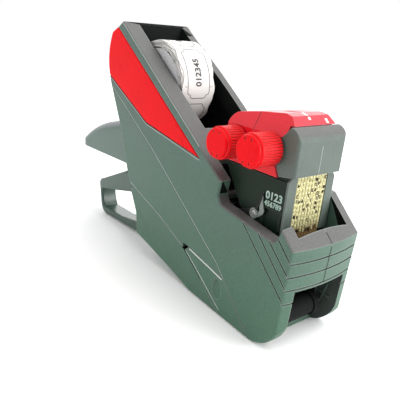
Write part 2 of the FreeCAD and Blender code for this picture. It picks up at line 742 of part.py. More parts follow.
def lever():
    body = new_body("trigger_lever")
    loop_top = place("loop_top", 61.5, 45.9)
    loop_rear_top = place("loop_rear_top", 98.3, 28.9)
    loop_rear_bend = place("loop_rear_bend", 101.3, 27.3)
    loop_rear = place("loop_rear", 102.4, 24.0)
    loop_rear_low = place("loop_rear_low", 99.0, 8.0)
    loop_low_bend = place("loop_low_bend", 96.5, 3.1)
    loop_heel = place("loop_heel", 91.0, 0.1)
    loop_under = place("loop_under", 43.1, 2.3)
    loop_front = place("loop_front", 24.0, 12.0)
    loop_neck = place("loop_neck", 17.0, 30.0)
    neck_top = place("neck_top", 34.5, 49.0)
    outline = [(yoke_front_y, yoke_top_z), neck_top, loop_top, loop_rear_top, Via(loop_rear_bend), loop_rear,
               loop_rear_low, Via(loop_low_bend), loop_heel, loop_under, loop_front, loop_neck,
               (yoke_rear_y, yoke_low_z), (yoke_front_y, yoke_low_z)]
    hole = [place("hole_top_rear", 96.9, 20.3), place("hole_top", 77.6, 25.1),
            place("hole_front_top", 42.0, 34.0), Via(place("hole_front", 31.0, 24.0)),
            place("hole_front_low", 40.0, 11.0), place("hole_low", 66.9, 6.4),
            place("hole_low_rear", 92.8, 5.8), Via(place("hole_rear", 96.3, 12.6))]
    add(body, "x", -lever_half, lever_half, outline, hole)
    round_edges(body, size("lever_round", 1.4), side_edges_behind(lever_half, yoke_rear_y + arm_thick * 2))
    add(body, "x", -yoke_half, yoke_half, box_loop(yoke_front_y, yoke_rear_y, yoke_low_z, yoke_top_z))
    for side in (-1, 1):
        sides = side_range(side, yoke_half, yoke_half - arm_thick)
        low = pivot[1] - arm_half_height
        high = pivot[1] + arm_half_height * 0.8
        nose_y = drive_pin_y - drive_slot_half
        arm = [(yoke_rear_y - 1, low), (yoke_rear_y - 1, high), (nose_y, pivot[1] + arm_half_height),
               Via((nose_y - arm_half_height, pivot[1])), (nose_y, low)]
        add(body, "x", *sides, arm)
        add(body, "x", *sides, Circle(pivot, pivot_boss))
    bore = pivot_radius + running_gap
    cut(body, "x", -yoke_half - 1, yoke_half + 1, Circle(pivot, bore))
    slot_radius = drive_pin_radius + slot_gap
    slot_rear = drive_pin_y + drive_slot_half
    slot_front = drive_pin_y - drive_slot_half
    slot = [(slot_rear, pivot[1] + slot_radius), (slot_front, pivot[1] + slot_radius),
            Via((slot_front - slot_radius, pivot[1])), (slot_front, pivot[1] - slot_radius),
            (slot_rear, pivot[1] - slot_radius), Via((slot_rear + slot_radius, pivot[1]))]
    cut(body, "x", -yoke_half - 1, yoke_half + 1, slot)
    node(body, "trigger_lever")


def side_edges_behind(x, y):
    def wanted(edge):
        flat = all(near(abs(vertex.X), number(x)) for vertex in edge.Vertexes)
        return flat and edge.BoundBox.YMin > number(y)
    return wanted


def flap():
    body = new_body("bottom_flap")
    corner_start = (flap_axis[0], flap_axis[1] + flap_corner)
    corner_end = (flap_axis[0] + flap_corner, flap_axis[1])
    diagonal = flap_corner * math.sqrt(0.5)
    outline = [corner_start, Via(moved(parting_middle, 0, -part_gap)), flap_front, flap_toe, flap_belly,
               flap_heel, flap_rear_low, corner_end, Via(moved(flap_axis, diagonal, diagonal))]
    add(body, "x", -half_width, half_width, outline)
    taper(body, -1, 0.0)
    taper(body, 1, 0.0)
    wall_rear_z = size("flap_wall_rear_z", 36.2)
    wall_top = place("flap_wall_top", 16.8, 33.2)
    floor_front_y = size("flap_floor_front_y", -66.0)
    open_z = parting_rear[1] + flap_axis[1] - parting_front[1]
    hollow = [moved(flap_heel, -flap_wall * 1.2, flap_wall * 0.6), moved(flap_belly, 0, flap_wall * 1.1),
              (floor_front_y, flap_toe[1] + flap_wall * 1.2), (floor_front_y, open_z),
              (half_width * 1.1, open_z), (half_width * 1.1, wall_rear_z), wall_top]
    cut(body, "x", -flap_inner_half, flap_inner_half, hollow)
    slot_front_y = size("flap_slot_front_y", -20.0)
    slot = box_loop(slot_front_y, half_width * 1.1, -wall * 2, open_z)
    cut(body, "x", -lever_slot_half, lever_slot_half, slot)
    cut(body, "x", -flap_pin_reach - part_gap, flap_pin_reach + part_gap,
        Circle(flap_axis, flap_pin_radius + running_gap))
    node(body, "bottom_flap")
    pins = new_body("flap_hinge_pins")
    for side in (-1, 1):
        add(pins, "x", *side_range(side, flap_pin_reach, flap_inner_half - lug_clear - lug_thick - part_gap),
            Circle(flap_axis, flap_pin_radius))
    node(pins, "flap_hinge_pins")


def catch(side, name):
    body = new_body(name)
    outline = [catch_rear_low, catch_rear_top, catch_front_top, catch_shoulder, catch_tip_low,
               (catch_tip_low[0], catch_foot_z), (catch_low_y, catch_foot_z)]
    inner = half_width - catch_thick
    add(body, "x", *side_range(side, half_width, inner), outline)
    taper(body, side, 0.0)
    dish = [dish_top, Via(dish_front), dish_low, Via(dish_rear)]
    cut(body, "x", *side_range(side, half_width, half_width - dish_depth), dish)
    add(body, "x", *side_range(side, inner, bracket_outer - catch_overlap), Circle(catch_pin, catch_pin_radius))
    node(body, name)


def label_roll():
    outer = roll_radius
    core = new_body("label_core")
    add(core, "x", -roll_half, roll_half, Circle(roll_centre, core_outer), Circle(roll_centre, core_inner))
    node(core, "label_core")
    stock = new_body("label_roll_body")
    add(stock, "x", -roll_half, roll_half, Circle(roll_centre, roll_body_radius),
        Circle(roll_centre, core_outer))
    node(stock, "label_roll_body")
    for side, name in ((-1, "right_roll_hub"), (1, "left_roll_hub")):
        hub = new_body(name)
        add(hub, "x", *side_range(side, roll_half + hub_flange_thick, roll_half),
            Circle(roll_centre, hub_flange), Circle(roll_centre, roll_axle_radius + running_gap))
        add(hub, "x", *side_range(side, roll_half, roll_half - hub_reach),
            Circle(roll_centre, core_inner - 0.1), Circle(roll_centre, roll_axle_radius + running_gap))
        add(hub, "x", *side_range(side, half_width - wall - roll_rib_rise - part_gap, roll_half + hub_flange_thick),
            Circle(roll_centre, roll_axle_radius + 2.0), Circle(roll_centre, roll_axle_radius + running_gap))
        node(hub, name)
    rod("roll_axle", -socket_reach + 0.2, socket_reach - 0.2, roll_centre, roll_axle_radius)
    winding = doc.addObject("Part::Feature", "label_roll_outer")
    winding.Shape = wound_ribbon()
    node(winding, "label_roll_outer")


# Half turns about two centres in turn, each a little larger than the last
def spiral(start_radius, layer, turns, pitch):
    arcs = []
    y, z = number(roll_centre[0]), number(roll_centre[1])
    side = -number(roll_half)
    tilt = math.radians(number(roll_leave_angle) + 90)
    step = pitch / 2
    for half in range(int(turns) * 2):
        sign = 1 if half % 2 == 0 else -1
        radius = start_radius + layer + step * half
        offset = sign * step / 2
        points = [(0, offset - sign * radius), (-sign * radius, offset), (0, offset + sign * radius)]
        turned = [(y + first * math.cos(tilt) - second * math.sin(tilt),
                   z + first * math.sin(tilt) + second * math.cos(tilt)) for first, second in points]
        arcs.append(Part.Arc(*[FreeCAD.Vector(side, *point) for point in turned]).toShape())
    return arcs


def wound_ribbon():
    pitch, layer, turns = number(roll_pitch), number(roll_layer), number(roll_turns)
    base = number(roll_radius) - pitch * turns
    inner = spiral(base - layer, 0.0, turns, pitch)
    outer = spiral(base - layer, layer, turns, pitch)
    first = Part.makeLine(inner[0].firstVertex(True).Point, outer[0].firstVertex(True).Point)
    last = Part.makeLine(inner[-1].lastVertex(True).Point, outer[-1].lastVertex(True).Point)
    wire = Part.Wire(Part.__sortEdges__(inner + outer + [first, last]))
    ribbon = Part.Face(wire).extrude(FreeCAD.Vector(number(roll_half) * 2, 0, 0))
    print("label winding: least gap between turns %.3f mm" % (pitch - layer))
    return ribbon


# The strip of labels leaves the roll at its rear and runs down and forward to the platen
def label_web():
    body = new_body("label_web")
    thick = size("web_thick", 0.3)
    reach = roll_radius + size("web_clear", 0.3)
    angle = math.radians(number(roll_leave_angle))
    leave = moved(roll_centre, reach * math.cos(angle), reach * math.sin(angle))
    turn = place("web_turn", -4.0, 64.0)
    bend = place("web_bend", -24.0, 40.0)
    low = platen_top_z + size("web_rise", 0.1)
    under_y = platen_rear_y + 1.0
    skew = thick * math.sqrt(0.5)
    upper = [leave, turn, bend, (under_y, low + thick), (platen_front_y, low + thick)]
    lower = [(platen_front_y, low), (under_y, low), *[moved(point, skew, -skew) for point in (bend, turn, leave)]]
    add(body, "x", -roll_half, roll_half, upper + lower)
    node(body, "label_web")


def belt_loops(top, top_radius, low, low_radius):
    dy = number(top[0]) - number(low[0])
    dz = number(top[1]) - number(low[1])
    length = math.hypot(dy, dz)
    tilt = math.asin((number(low_radius) - number(top_radius)) / length)
    heading = math.atan2(dz, dy)
    loop = []
    for centre, radius, sign in ((top, top_radius, 1), (low, low_radius, -1)):
        first = heading + sign * math.pi / 2 - tilt * sign
        second = heading - sign * math.pi / 2 + tilt * sign
        middle = heading if sign > 0 else heading + math.pi
        for step, angle in enumerate((first, middle, second)):
            point = (centre[0] + radius * math.cos(angle), centre[1] + radius * math.sin(angle))
            loop.append(Via(point) if step == 1 else point)
    return loop


def bands(name, top, top_radius, low, low_radius):
    body = new_body(name)
    start = -band_pitch * band_count / 2 + band_space / 2
    inner = belt_loops(top, top_radius, low, low_radius)
    outer = belt_loops(top, top_radius + band_thick, low, low_radius + band_thick)
    feature = add(body, "x", start, start + band_pitch - band_space, outer, inner)
    repeat(body, "X_Axis", [feature], band_count, band_pitch * (band_count - 1))
    node(body, name)


def band_wheels(name, centre, radius):
    body = new_body(name)
    start = -band_pitch * band_count / 2 + band_space / 2
    feature = add(body, "x", start, start + band_pitch - band_space, Circle(centre, radius - running_gap),
                  Circle(centre, pinion_radius + 0.2))
    repeat(body, "X_Axis", [feature], band_count, band_pitch * (band_count - 1))
    node(body, name)


# Head frame outline, and the feet that carry the anvils and the drive pin
frame_rear = place("frame_rear", -61.6, 106.0)
frame_rear_low = place("frame_rear_low", -62.0, 87.5)
frame_waist = place("frame_waist", -75.8, 66.7)
frame_front_y = size("frame_front_y", -105.9)
frame_low_z = size("frame_low_z", 59.2)
frame_brow_z = size("frame_brow_z", 106.0)
frame_top_front = place("frame_top_front", -102.0, 110.6)
frame_top_rear = place("frame_top_rear", -66.0, 110.0)
frame_belly = place("frame_belly", -90.0, 62.0)
frame_rib = size("frame_rib", 2.0)
pin_foot = size("pin_foot", 4.0)
anvil_foot_z = size("anvil_foot_z", 43.6)
rear_foot_y = size("rear_foot_y", -90.6)
rear_foot_front_y = size("rear_foot_front_y", -95.4)
front_foot_rear_y = size("front_foot_rear_y", -98.5)
front_foot_y = size("front_foot_y", -106.6)
skin_top_z = size("skin_top_z", 88.4)
skin_step = place("skin_step", -92.6, 71.6)
strip_y = size("strip_y", -104.0)
strip_half = size("strip_half", 0.5)
strip_rise = size("strip_rise", 0.6)
strip_low_z = size("strip_low_z", 62.0)
strip_top_z = size("strip_top_z", 69.6)


def head_frame(side, name):
    body = new_body(name)
    outer = head_half - frame_skin
    upper = [(frame_front_y, frame_low_z), (frame_front_y, frame_brow_z), frame_top_front, frame_top_rear]
    rear = [frame_rear, frame_rear_low, frame_waist]
    feet = [(drive_pin_y + pin_foot, frame_belly[1]), (drive_pin_y + pin_foot, pivot[1] - pin_foot),
            (drive_pin_y - pin_foot, pivot[1] - pin_foot), (drive_pin_y - pin_foot, frame_low_z),
            (rear_foot_y, frame_low_z), (rear_foot_y, anvil_foot_z), (rear_foot_front_y, anvil_foot_z),
            (rear_foot_front_y, frame_low_z), (front_foot_rear_y, frame_low_z),
            (front_foot_rear_y, anvil_foot_z), (front_foot_y, anvil_foot_z), (front_foot_y, frame_low_z)]
    add(body, "x", *side_range(side, frame_inner + frame_rib, frame_inner), rear + feet + upper)
    add(body, "x", *side_range(side, outer, frame_inner), rear + [frame_belly] + upper)
    skin = [frame_rear_low, frame_waist, frame_belly, (skin_step[0], frame_belly[1]), skin_step,
            (frame_front_y, skin_step[1]), (frame_front_y, skin_top_z), (frame_rear_low[0], skin_top_z)]
    add(body, "x", *side_range(side, head_half, outer), skin)
    strip = box_loop(strip_y - strip_half, strip_y + strip_half, strip_low_z, strip_top_z)
    add(body, "x", *side_range(side, outer + strip_rise, outer), strip)
    through = side_range(side, head_half + 1, frame_inner - 1)
    for centre in (front_axis, rear_axis):
        cut(body, "x", *through, Circle(centre, selector_radius + running_gap))
    cut(body, "x", *through, Circle((drive_pin_y, pivot[1]), drive_pin_radius + running_gap / 2))
    node(body, name)


def anvil(name, centre, radius):
    body = new_body(name)
    add(body, "x", -frame_inner, frame_inner, Circle(centre, radius - running_gap))
    node(body, name)


# Front housing: a brow over the bands, a cheek in front of the knob and a leg down each side
brow_half = size("brow_half", 18.3)
brow_front_y = size("brow_front_y", -109.9)
brow_low_z = size("brow_low_z", 91.6)
brow_turn_z = size("brow_turn_z", 107.6)
brow_bend = place("brow_bend", -108.4, 112.7)
brow_top = place("brow_top", -103.7, 115.3)
brow_rear_y = size("brow_rear_y", -101.5)
brow_wall = size("brow_wall", 1.8)
brow_round = size("brow_round", 1.4)
band_clear = size("band_clear", 0.6)
cheek_thick = size("cheek_thick", 0.9)
cheek_tip = place("cheek_tip", -99.7, 90.0)
shaft_hole = size("shaft_hole", 3.5)
leg_inner = size("leg_inner", 12.0)
leg_front_y = size("leg_front_y", -107.2)
leg_thick = size("leg_thick", 1.2)
leg_round = size("leg_round", 3.0)


# What lies outside a rounded front corner, seen from above
def corner_loop(side, half, front_y, radius):
    chord = radius * (1 - math.sqrt(0.5))
    return [(side * (half - radius), front_y), Via((side * (half - chord), front_y + chord)),
            (side * half, front_y + radius), (side * (half + 1), front_y + radius),
            (side * (half + 1), front_y - 1), (side * (half - radius), front_y - 1)]


def front_housing():
    body = new_body("front_housing")
    outline = [(brow_front_y, brow_low_z), (brow_front_y, brow_turn_z), Via(brow_bend), brow_top]
    add(body, "x", -brow_half, brow_half, outline + [front_axis, cheek_tip])
    for side in (-1, 1):
        cut(body, "z", brow_low_z - 1, far, corner_loop(side, brow_half, brow_front_y, brow_round))
    inner = brow_half - cheek_thick
    behind = box_loop(brow_rear_y, head_half, far * 0.2, far)
    cut(body, "x", -inner, inner, behind)
    cut(body, "x", -inner, inner, Circle(front_axis, front_wheel + band_thick + band_clear))
    below = box_loop(brow_front_y + brow_wall, head_half, far * 0.2, front_axis[1])
    cut(body, "x", -inner, inner, below)
    cut(body, "x", -brow_half, brow_half, Circle(front_axis, shaft_hole))
    for side in (-1, 1):
        ledge = box_loop(brow_front_y + brow_wall / 2, leg_front_y + leg_thick, brow_low_z, brow_low_z + brow_wall)
        add(body, "x", *side_range(side, inner + cheek_thick / 2, leg_inner), ledge)
        leg = [(side * leg_inner, frame_low_z), (side * head_half, frame_low_z),
               (side * head_half, brow_low_z - leg_round), (side * (head_half - leg_round), brow_low_z + part_gap),
               (side * leg_inner, brow_low_z + part_gap)]
        add(body, "y", leg_front_y, leg_front_y + leg_thick, leg)
    node(body, "front_housing")


# Top cover: roof with sloping sides, open below, with a side wall behind each cheek
cover_half = size("cover_half", 18.9)
cover_wall = size("cover_wall", 1.7)
cover_rear_y = size("cover_rear_y", -60.4)
cover_rear_wall = size("cover_rear_wall", 0.7)
cover_low_z = size("cover_low_z", 89.4)
cover_rear_z = size("cover_rear_z", 108.6)
cover_rear_bend = place("cover_rear_bend", -61.4, 113.0)
cover_rear_top = place("cover_rear_top", -66.0, 116.0)
cover_middle = place("cover_middle", -80.0, 118.6)
cover_crown = place("cover_crown", -95.0, 120.4)
cover_brow = place("cover_brow", -99.5, 119.6)
cover_lip = place("cover_lip", -103.6, 115.5)
lip_rear_y = size("lip_rear_y", -100.9)
roof_half = size("roof_half", 13.2)
shoulder_z = size("shoulder_z", 110.9)
bevel_top = place("bevel_top", 12.9, 121.6)
bevel_low = place("bevel_low", 19.4, 108.6)
bevel_groove_y = size("bevel_groove_y", -79.9)
bevel_groove_wide = size("bevel_groove_wide", 0.8)
bevel_groove_depth = size("bevel_groove_depth", 0.45)


def bevel_loop(side, inward):
    start = (side * (bevel_top[0] - inward), bevel_top[1])
    end = (side * (bevel_low[0] - inward), bevel_low[1])
    return [start, end, (side * half_width, bevel_low[1]), (side * half_width, bevel_top[1])]


def top_cover():
    body = new_body("top_cover")
    outer = [(cover_rear_y, cover_low_z), (cover_rear_y, cover_rear_z), Via(cover_rear_bend), cover_rear_top,
             cover_middle, cover_crown, cover_brow, cover_lip, moved(front_axis, 0.2, 0),
             (cheek_tip[0] + part_gap, cover_low_z)]
    add(body, "x", -cover_half, cover_half, outer)
    inner = cover_half - cover_wall
    rear = cover_rear_y - cover_rear_wall
    front = cover_lip[0] - head_half
    low = cover_low_z - head_half
    under_lip = [(rear, low), (front, low), (front, cover_lip[1]), (lip_rear_y, cover_lip[1])]
    cut(body, "x", -inner, inner, under_lip + [(lip_rear_y, shoulder_z), (rear, shoulder_z)])
    roof = [place("roof_front", -100.9, 116.6), place("roof_crown", -94.0, 117.4),
            place("roof_middle", -80.0, 115.9), place("roof_rear", -66.0, 113.0), (rear, cover_rear_z - 1.6)]
    cut(body, "x", -roof_half, roof_half, under_lip + roof)
    for side in (-1, 1):
        cut(body, "y", front, cover_rear_y + 1, bevel_loop(side, 0.0))
        cut(body, "y", bevel_groove_y, bevel_groove_y + bevel_groove_wide, bevel_loop(side, bevel_groove_depth))
        for centre in (front_axis, rear_axis):
            cut(body, "x", *side_range(side, cover_half + 1, inner - 1), Circle(centre, shaft_hole))
    node(body, "top_cover")


# Knobs: a smaller disc in front of a ribbed barrel, hollow behind, on a shaft with a pinion
knob_face = size("knob_face", 7.9)
knob_step = size("knob_step", 1.8)
knob_round = size("knob_round", 0.8)
knob_rim = size("knob_rim", 2.0)
knob_front = size("knob_front", 3.0)
knob_boss = size("knob_boss", 1.2)
knob_hollow_gap = size("knob_hollow_gap", 4.0)
rib_depth = size("rib_depth", 0.5)
rib_half = size("rib_half", 0.28)
mark_half = size("mark_half", 0.4)
mark_depth = size("mark_depth", 0.8)
mark_share = size("mark_share", 0.72)


def knob(name, axis, reach):
    body = new_body(name)
    origin = (0.0, 0.0)
    add(body, "x", -reach + knob_step, -knob_base, Circle(origin, knob_radius))
    round_edges(body, knob_round, side_edges_at(reach - knob_step))
    add(body, "x", -reach, -reach + knob_step, Circle(origin, knob_face))
    round_edges(body, knob_round, side_edges_at(reach))
    cut(body, "x", -reach + knob_front, -knob_base, Circle(origin, knob_radius - knob_rim))
    boss_end = -knob_base - knob_hollow_gap
    add(body, "x", -reach + knob_front / 2, boss_end, Circle(origin, selector_radius + knob_boss))
    rib = box_loop(knob_radius - rib_depth, knob_radius + 1, -rib_half, rib_half)
    groove = cut(body, "x", -reach + knob_step + knob_round * 1.5, -knob_base, rib)
    repeat_round(body, "X_Axis", [groove], rib_count)
    for angle in (70, 110, 250, 290):
        heading = math.radians(angle)
        spot = [mark_share * knob_radius * part for part in (math.cos(heading), math.sin(heading))]
        mark = box_loop(spot[0] - mark_half, spot[0] + mark_half, spot[1] - mark_half * 2, spot[1] + mark_half * 2)
        cut(body, "x", -reach, -reach + mark_depth, mark)
    add(body, "x", boss_end, frame_inner - 1.0, Circle(origin, selector_radius))
    pinion_start = frame_inner - pinion_wide * 2
    add(body, "x", pinion_start, pinion_start + pinion_wide, Circle(origin, pinion_radius))
    node(body, name)
    bind(body, "Placement.Base.y", axis[0])
    bind(body, "Placement.Base.z", axis[1])


def side_edges_at(x):
    def wanted(edge):
        return near(edge.BoundBox.XMin, -number(x)) and near(edge.BoundBox.XMax, -number(x))
    return wanted


def detent(name, axis, reach):
    body = new_body(name)
    bore = selector_radius + knob_boss + running_gap
    add(body, "x", -reach + knob_front + detent_gap * 5, -knob_base - knob_hollow_gap - detent_gap,
        Circle(axis, bore + detent_wall), Circle(axis, bore))
    node(body, name)


detent_gap = size("detent_gap", 0.4)
detent_wall = size("detent_wall", 1.0)

# Ink holder: two arms that hang on studs on the head and carry the inked roller
clip = place("ink_clip", -87.4, 66.3)
ink = place("ink_axis", -70.0, 60.0)
ink_half = size("ink_half", 12.0)
ink_radius = size("ink_radius", 6.0)
ink_pin = size("ink_pin", 1.4)
stud_radius = size("stud_radius", 1.6)
arm_gap = size("arm_gap", 0.3)
holder_thick = size("holder_thick", 0.9)
clip_half = size("clip_half", 2.4)
clip_nose = size("clip_nose", 2.9)
pin_nose = size("pin_nose", 2.6)
tail_low = place("tail_low", -89.6, 73.0)
tail_top = place("tail_top", -91.0, 78.8)
tail_wide = size("tail_wide", 1.7)


def ink_parts():
    roller = new_body("ink_roller")
    add(roller, "x", -ink_half, ink_half, Circle(ink, ink_radius), Circle(ink, ink_pin + running_gap))
    node(roller, "ink_roller")
    holder = new_body("ink_holder")
    low = head_half + arm_gap
    high = low + holder_thick
    arm = [moved(clip, stud_radius, clip_half), moved(ink, ink_pin / 2, clip_half), Via(moved(ink, pin_nose, 0)),
           moved(ink, -ink_pin / 2, -clip_half), moved(clip, -stud_radius, -clip_half),
           Via(moved(clip, -clip_nose, 0))]
    for side in (-1, 1):
        add(holder, "x", *side_range(side, high, low), arm)
    add(holder, "x", -high, high, Circle(ink, ink_pin))
    tail = [moved(clip, -clip_nose / 2, 1.0), moved(clip, 0.0, 1.0), tail_low, tail_top,
            moved(tail_top, -tail_wide, 0.0), moved(tail_low, -tail_wide, 0.0)]
    add(holder, "x", -high, -low, tail)
    cut(holder, "x", -high - 1, high + 1, Circle(clip, stud_radius + running_gap))
    node(holder, "ink_holder")
    stubs = new_body("ink_holder_pivots")
    for side in (-1, 1):
        add(stubs, "x", *side_range(side, high, head_half), Circle(clip, stud_radius))
    node(stubs, "ink_holder_pivots")


# Platen with its ears in the case, the peel edge and the channels that guide the head
ear_front_gap = size("ear_front_gap", 0.3)
ear_rear = size("ear_rear", 6.0)
peel_reach = size("peel_reach", 3.6)
peel_drop = size("peel_drop", 0.4)
guide_outer = size("guide_outer", 17.2)
guide_inner = size("guide_inner", 12.9)
guide_floor = size("guide_floor", 15.3)
guide_front_y = size("guide_front_y", -97.6)
guide_rear_y = size("guide_rear_y", -89.4)
guide_top_z = size("guide_top_z", 48.4)
guide_clear = size("guide_clear", 0.3)


def platen_parts():
    plate = new_body("platen")
    ear = half_width - wall
    front_part = box_loop(mouth_rear_y + ear_front_gap, platen_rear_y - ear_rear, platen_low_z, ear_top_z)
    add(plate, "x", -ear, ear, front_part)
    bed = box_loop(platen_front_y, platen_rear_y, platen_low_z, platen_top_z)
    add(plate, "x", -platen_half, platen_half, bed)
    node(plate, "platen")
    peel = new_body("peel_edge")
    tip = (platen_front_y - peel_reach, platen_top_z - peel_drop)
    add(peel, "x", -platen_half, platen_half,
        [(platen_front_y, platen_low_z), (platen_front_y, platen_top_z), tip, moved(tip, 0, -peel_drop * 1.5)])
    node(peel, "peel_edge")
    for side, name in ((-1, "right_head_guide"), (1, "left_head_guide")):
        guide = new_body(name)
        add(guide, "x", *side_range(side, guide_outer, platen_half),
            box_loop(guide_front_y, guide_rear_y, ear_top_z, guide_top_z))
        channel = box_loop(rear_foot_front_y - guide_clear, rear_foot_y + guide_clear, ear_top_z - 1,
                           guide_top_z + head_half)
        cut(guide, "x", *side_range(side, guide_floor, guide_inner), channel)
        node(guide, name)


# Feed arm, measured from the feed shaft
feed_arm_gap = size("feed_arm_gap", 0.4)
feed_arm_thick = size("feed_arm_thick", 2.6)
feed_arm_root = size("feed_arm_root", 3.9)
feed_arm_tip = size("feed_arm_tip", 2.4)
feed_arm_reach = place("feed_arm_reach", 16.0, 6.0)
feed_finger = size("feed_finger", 1.5)
feed_finger_reach = size("feed_finger_reach", 4.0)


def feed_parts():
    wheel = new_body("feed_wheel")
    bore = Circle(feed_axis, feed_shaft_radius + running_gap)
    add(wheel, "x", -feed_half, feed_half, Circle(feed_axis, feed_radius), bore)
    node(wheel, "feed_wheel")
    rod("feed_shaft", -socket_reach + 0.2, socket_reach - 0.2, feed_axis, feed_shaft_radius)
    arm = new_body("feed_arm")
    low = feed_half + feed_arm_gap
    high = low + feed_arm_thick
    tip = moved(feed_axis, *feed_arm_reach)
    lean = feed_arm_tip * 0.42
    root = feed_arm_root * 0.92
    bar = [moved(feed_axis, -root * 0.45, root), moved(tip, -lean, feed_arm_tip),
           Via(moved(tip, feed_arm_tip, lean / 2)), moved(tip, lean, -feed_arm_tip),
           moved(feed_axis, root * 0.45, -root), Via(moved(feed_axis, -feed_arm_root, 0))]
    add(arm, "x", low, high, bar)
    add(arm, "x", low - feed_finger_reach, high, Circle(tip, feed_finger))
    cut(arm, "x", low - 1, high + 1, bore)
    node(arm, "feed_arm")


def applicator():
    roller = new_body("applicator_roller")
    low, high = size("roller_low_x", -16.0), size("roller_high_x", 15.0)
    bore = Circle(roller_axis, roller_axle_radius + running_gap)
    right_collar, left_collar = size("right_collar", 6.5), size("left_collar", 4.0)
    waist = roller_radius - size("collar_rise", 0.8)
    add(roller, "x", low, high, Circle(roller_axis, waist), bore)
    add(roller, "x", low, low + right_collar, Circle(roller_axis, roller_radius), bore)
    add(roller, "x", high - left_collar, high, Circle(roller_axis, roller_radius), bore)
    node(roller, "applicator_roller")
    rod("applicator_axle", -socket_reach + 0.2, socket_reach - 0.2, roller_axis, roller_axle_radius)


def screws():
    body = new_body("case_screws")
    for centre in screw_places:
        add(body, "x", -screw_reach, screw_head_low_x, Circle(centre, screw_radius))
        add(body, "x", screw_head_low_x, screw_head_low_x + screw_head_thick, Circle(centre, screw_head_radius))
    node(body, "case_screws")


def check():
    doc.recompute()
    failed = [thing.Label for thing in doc.Objects if "Invalid" in thing.State or "Error" in thing.State]
    if failed:
        raise RuntimeError("failed: " + ", ".join(failed))
    unsound = [name for name, thing in nodes if thing.Shape.isNull() or not thing.Shape.isValid()]
    if unsound:
        raise RuntimeError("not a sound shape: " + ", ".join(unsound))


def write():
    os.makedirs("parts", exist_ok=True)
    for name, thing in nodes:
        thing.Shape.exportStep("parts/" + name + ".step")
    print("%d pieces" % len(nodes))


make_case()
side_panel(-1, "right_side_panel")
side_panel(1, "left_side_panel")
handle()
lever()
rod("lever_pivot_pin", -socket_reach + 1.2, socket_reach - 1.2, pivot, pivot_radius)
flap()
catch(-1, "right_catch")
catch(1, "left_catch")
label_roll()
label_web()
head_frame(-1, "right_head_frame")
head_frame(1, "left_head_frame")
rod("head_drive_pin", -yoke_half, yoke_half, (drive_pin_y, pivot[1]), drive_pin_radius)
bands("front_type_bands", front_axis, front_wheel, front_anvil, front_anvil_radius)
bands("rear_type_bands", rear_axis, rear_wheel, rear_anvil, rear_anvil_radius)
band_wheels("front_type_wheels", front_axis, front_wheel)
band_wheels("rear_type_wheels", rear_axis, rear_wheel)
anvil("front_type_anvil", front_anvil, front_anvil_radius)
anvil("rear_type_anvil", rear_anvil, rear_anvil_radius)
front_housing()
top_cover()
knob("front_knob", front_axis, knob_reach)
knob("rear_knob", rear_axis, rear_knob_reach)
detent("front_detent_sleeve", front_axis, knob_reach)
detent("rear_detent_sleeve", rear_axis, rear_knob_reach)
ink_parts()
platen_parts()
feed_parts()
applicator()
screws()
check()
write()
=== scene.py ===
import math
import random

import bmesh
import bpy
from mathutils import Matrix, Vector
from mathutils.bvhtree import BVHTree


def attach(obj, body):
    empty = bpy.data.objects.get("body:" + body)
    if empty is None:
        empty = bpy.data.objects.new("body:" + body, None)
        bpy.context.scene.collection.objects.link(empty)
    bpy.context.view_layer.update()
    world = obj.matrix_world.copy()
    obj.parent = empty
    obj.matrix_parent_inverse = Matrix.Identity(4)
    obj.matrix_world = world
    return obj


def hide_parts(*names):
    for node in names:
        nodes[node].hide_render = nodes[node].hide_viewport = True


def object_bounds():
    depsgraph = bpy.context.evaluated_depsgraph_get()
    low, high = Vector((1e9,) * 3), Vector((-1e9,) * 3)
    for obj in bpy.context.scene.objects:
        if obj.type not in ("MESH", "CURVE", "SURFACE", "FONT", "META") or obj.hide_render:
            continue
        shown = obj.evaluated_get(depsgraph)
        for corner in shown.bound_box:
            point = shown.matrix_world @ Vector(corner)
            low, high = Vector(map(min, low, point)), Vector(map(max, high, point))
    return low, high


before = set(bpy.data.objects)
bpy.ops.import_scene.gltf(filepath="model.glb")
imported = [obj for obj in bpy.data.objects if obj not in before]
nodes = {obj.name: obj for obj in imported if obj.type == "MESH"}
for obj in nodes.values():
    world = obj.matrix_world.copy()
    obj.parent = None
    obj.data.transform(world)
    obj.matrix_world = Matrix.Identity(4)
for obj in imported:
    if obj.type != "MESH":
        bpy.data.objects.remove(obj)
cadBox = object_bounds()

# The gun's seam lies this far from the middle of its box, because the knobs stand out on one side
seam = 0.0045
mm = 0.001


def point(x, y, z):
    return Vector((seam + x * mm, y * mm, z * mm))


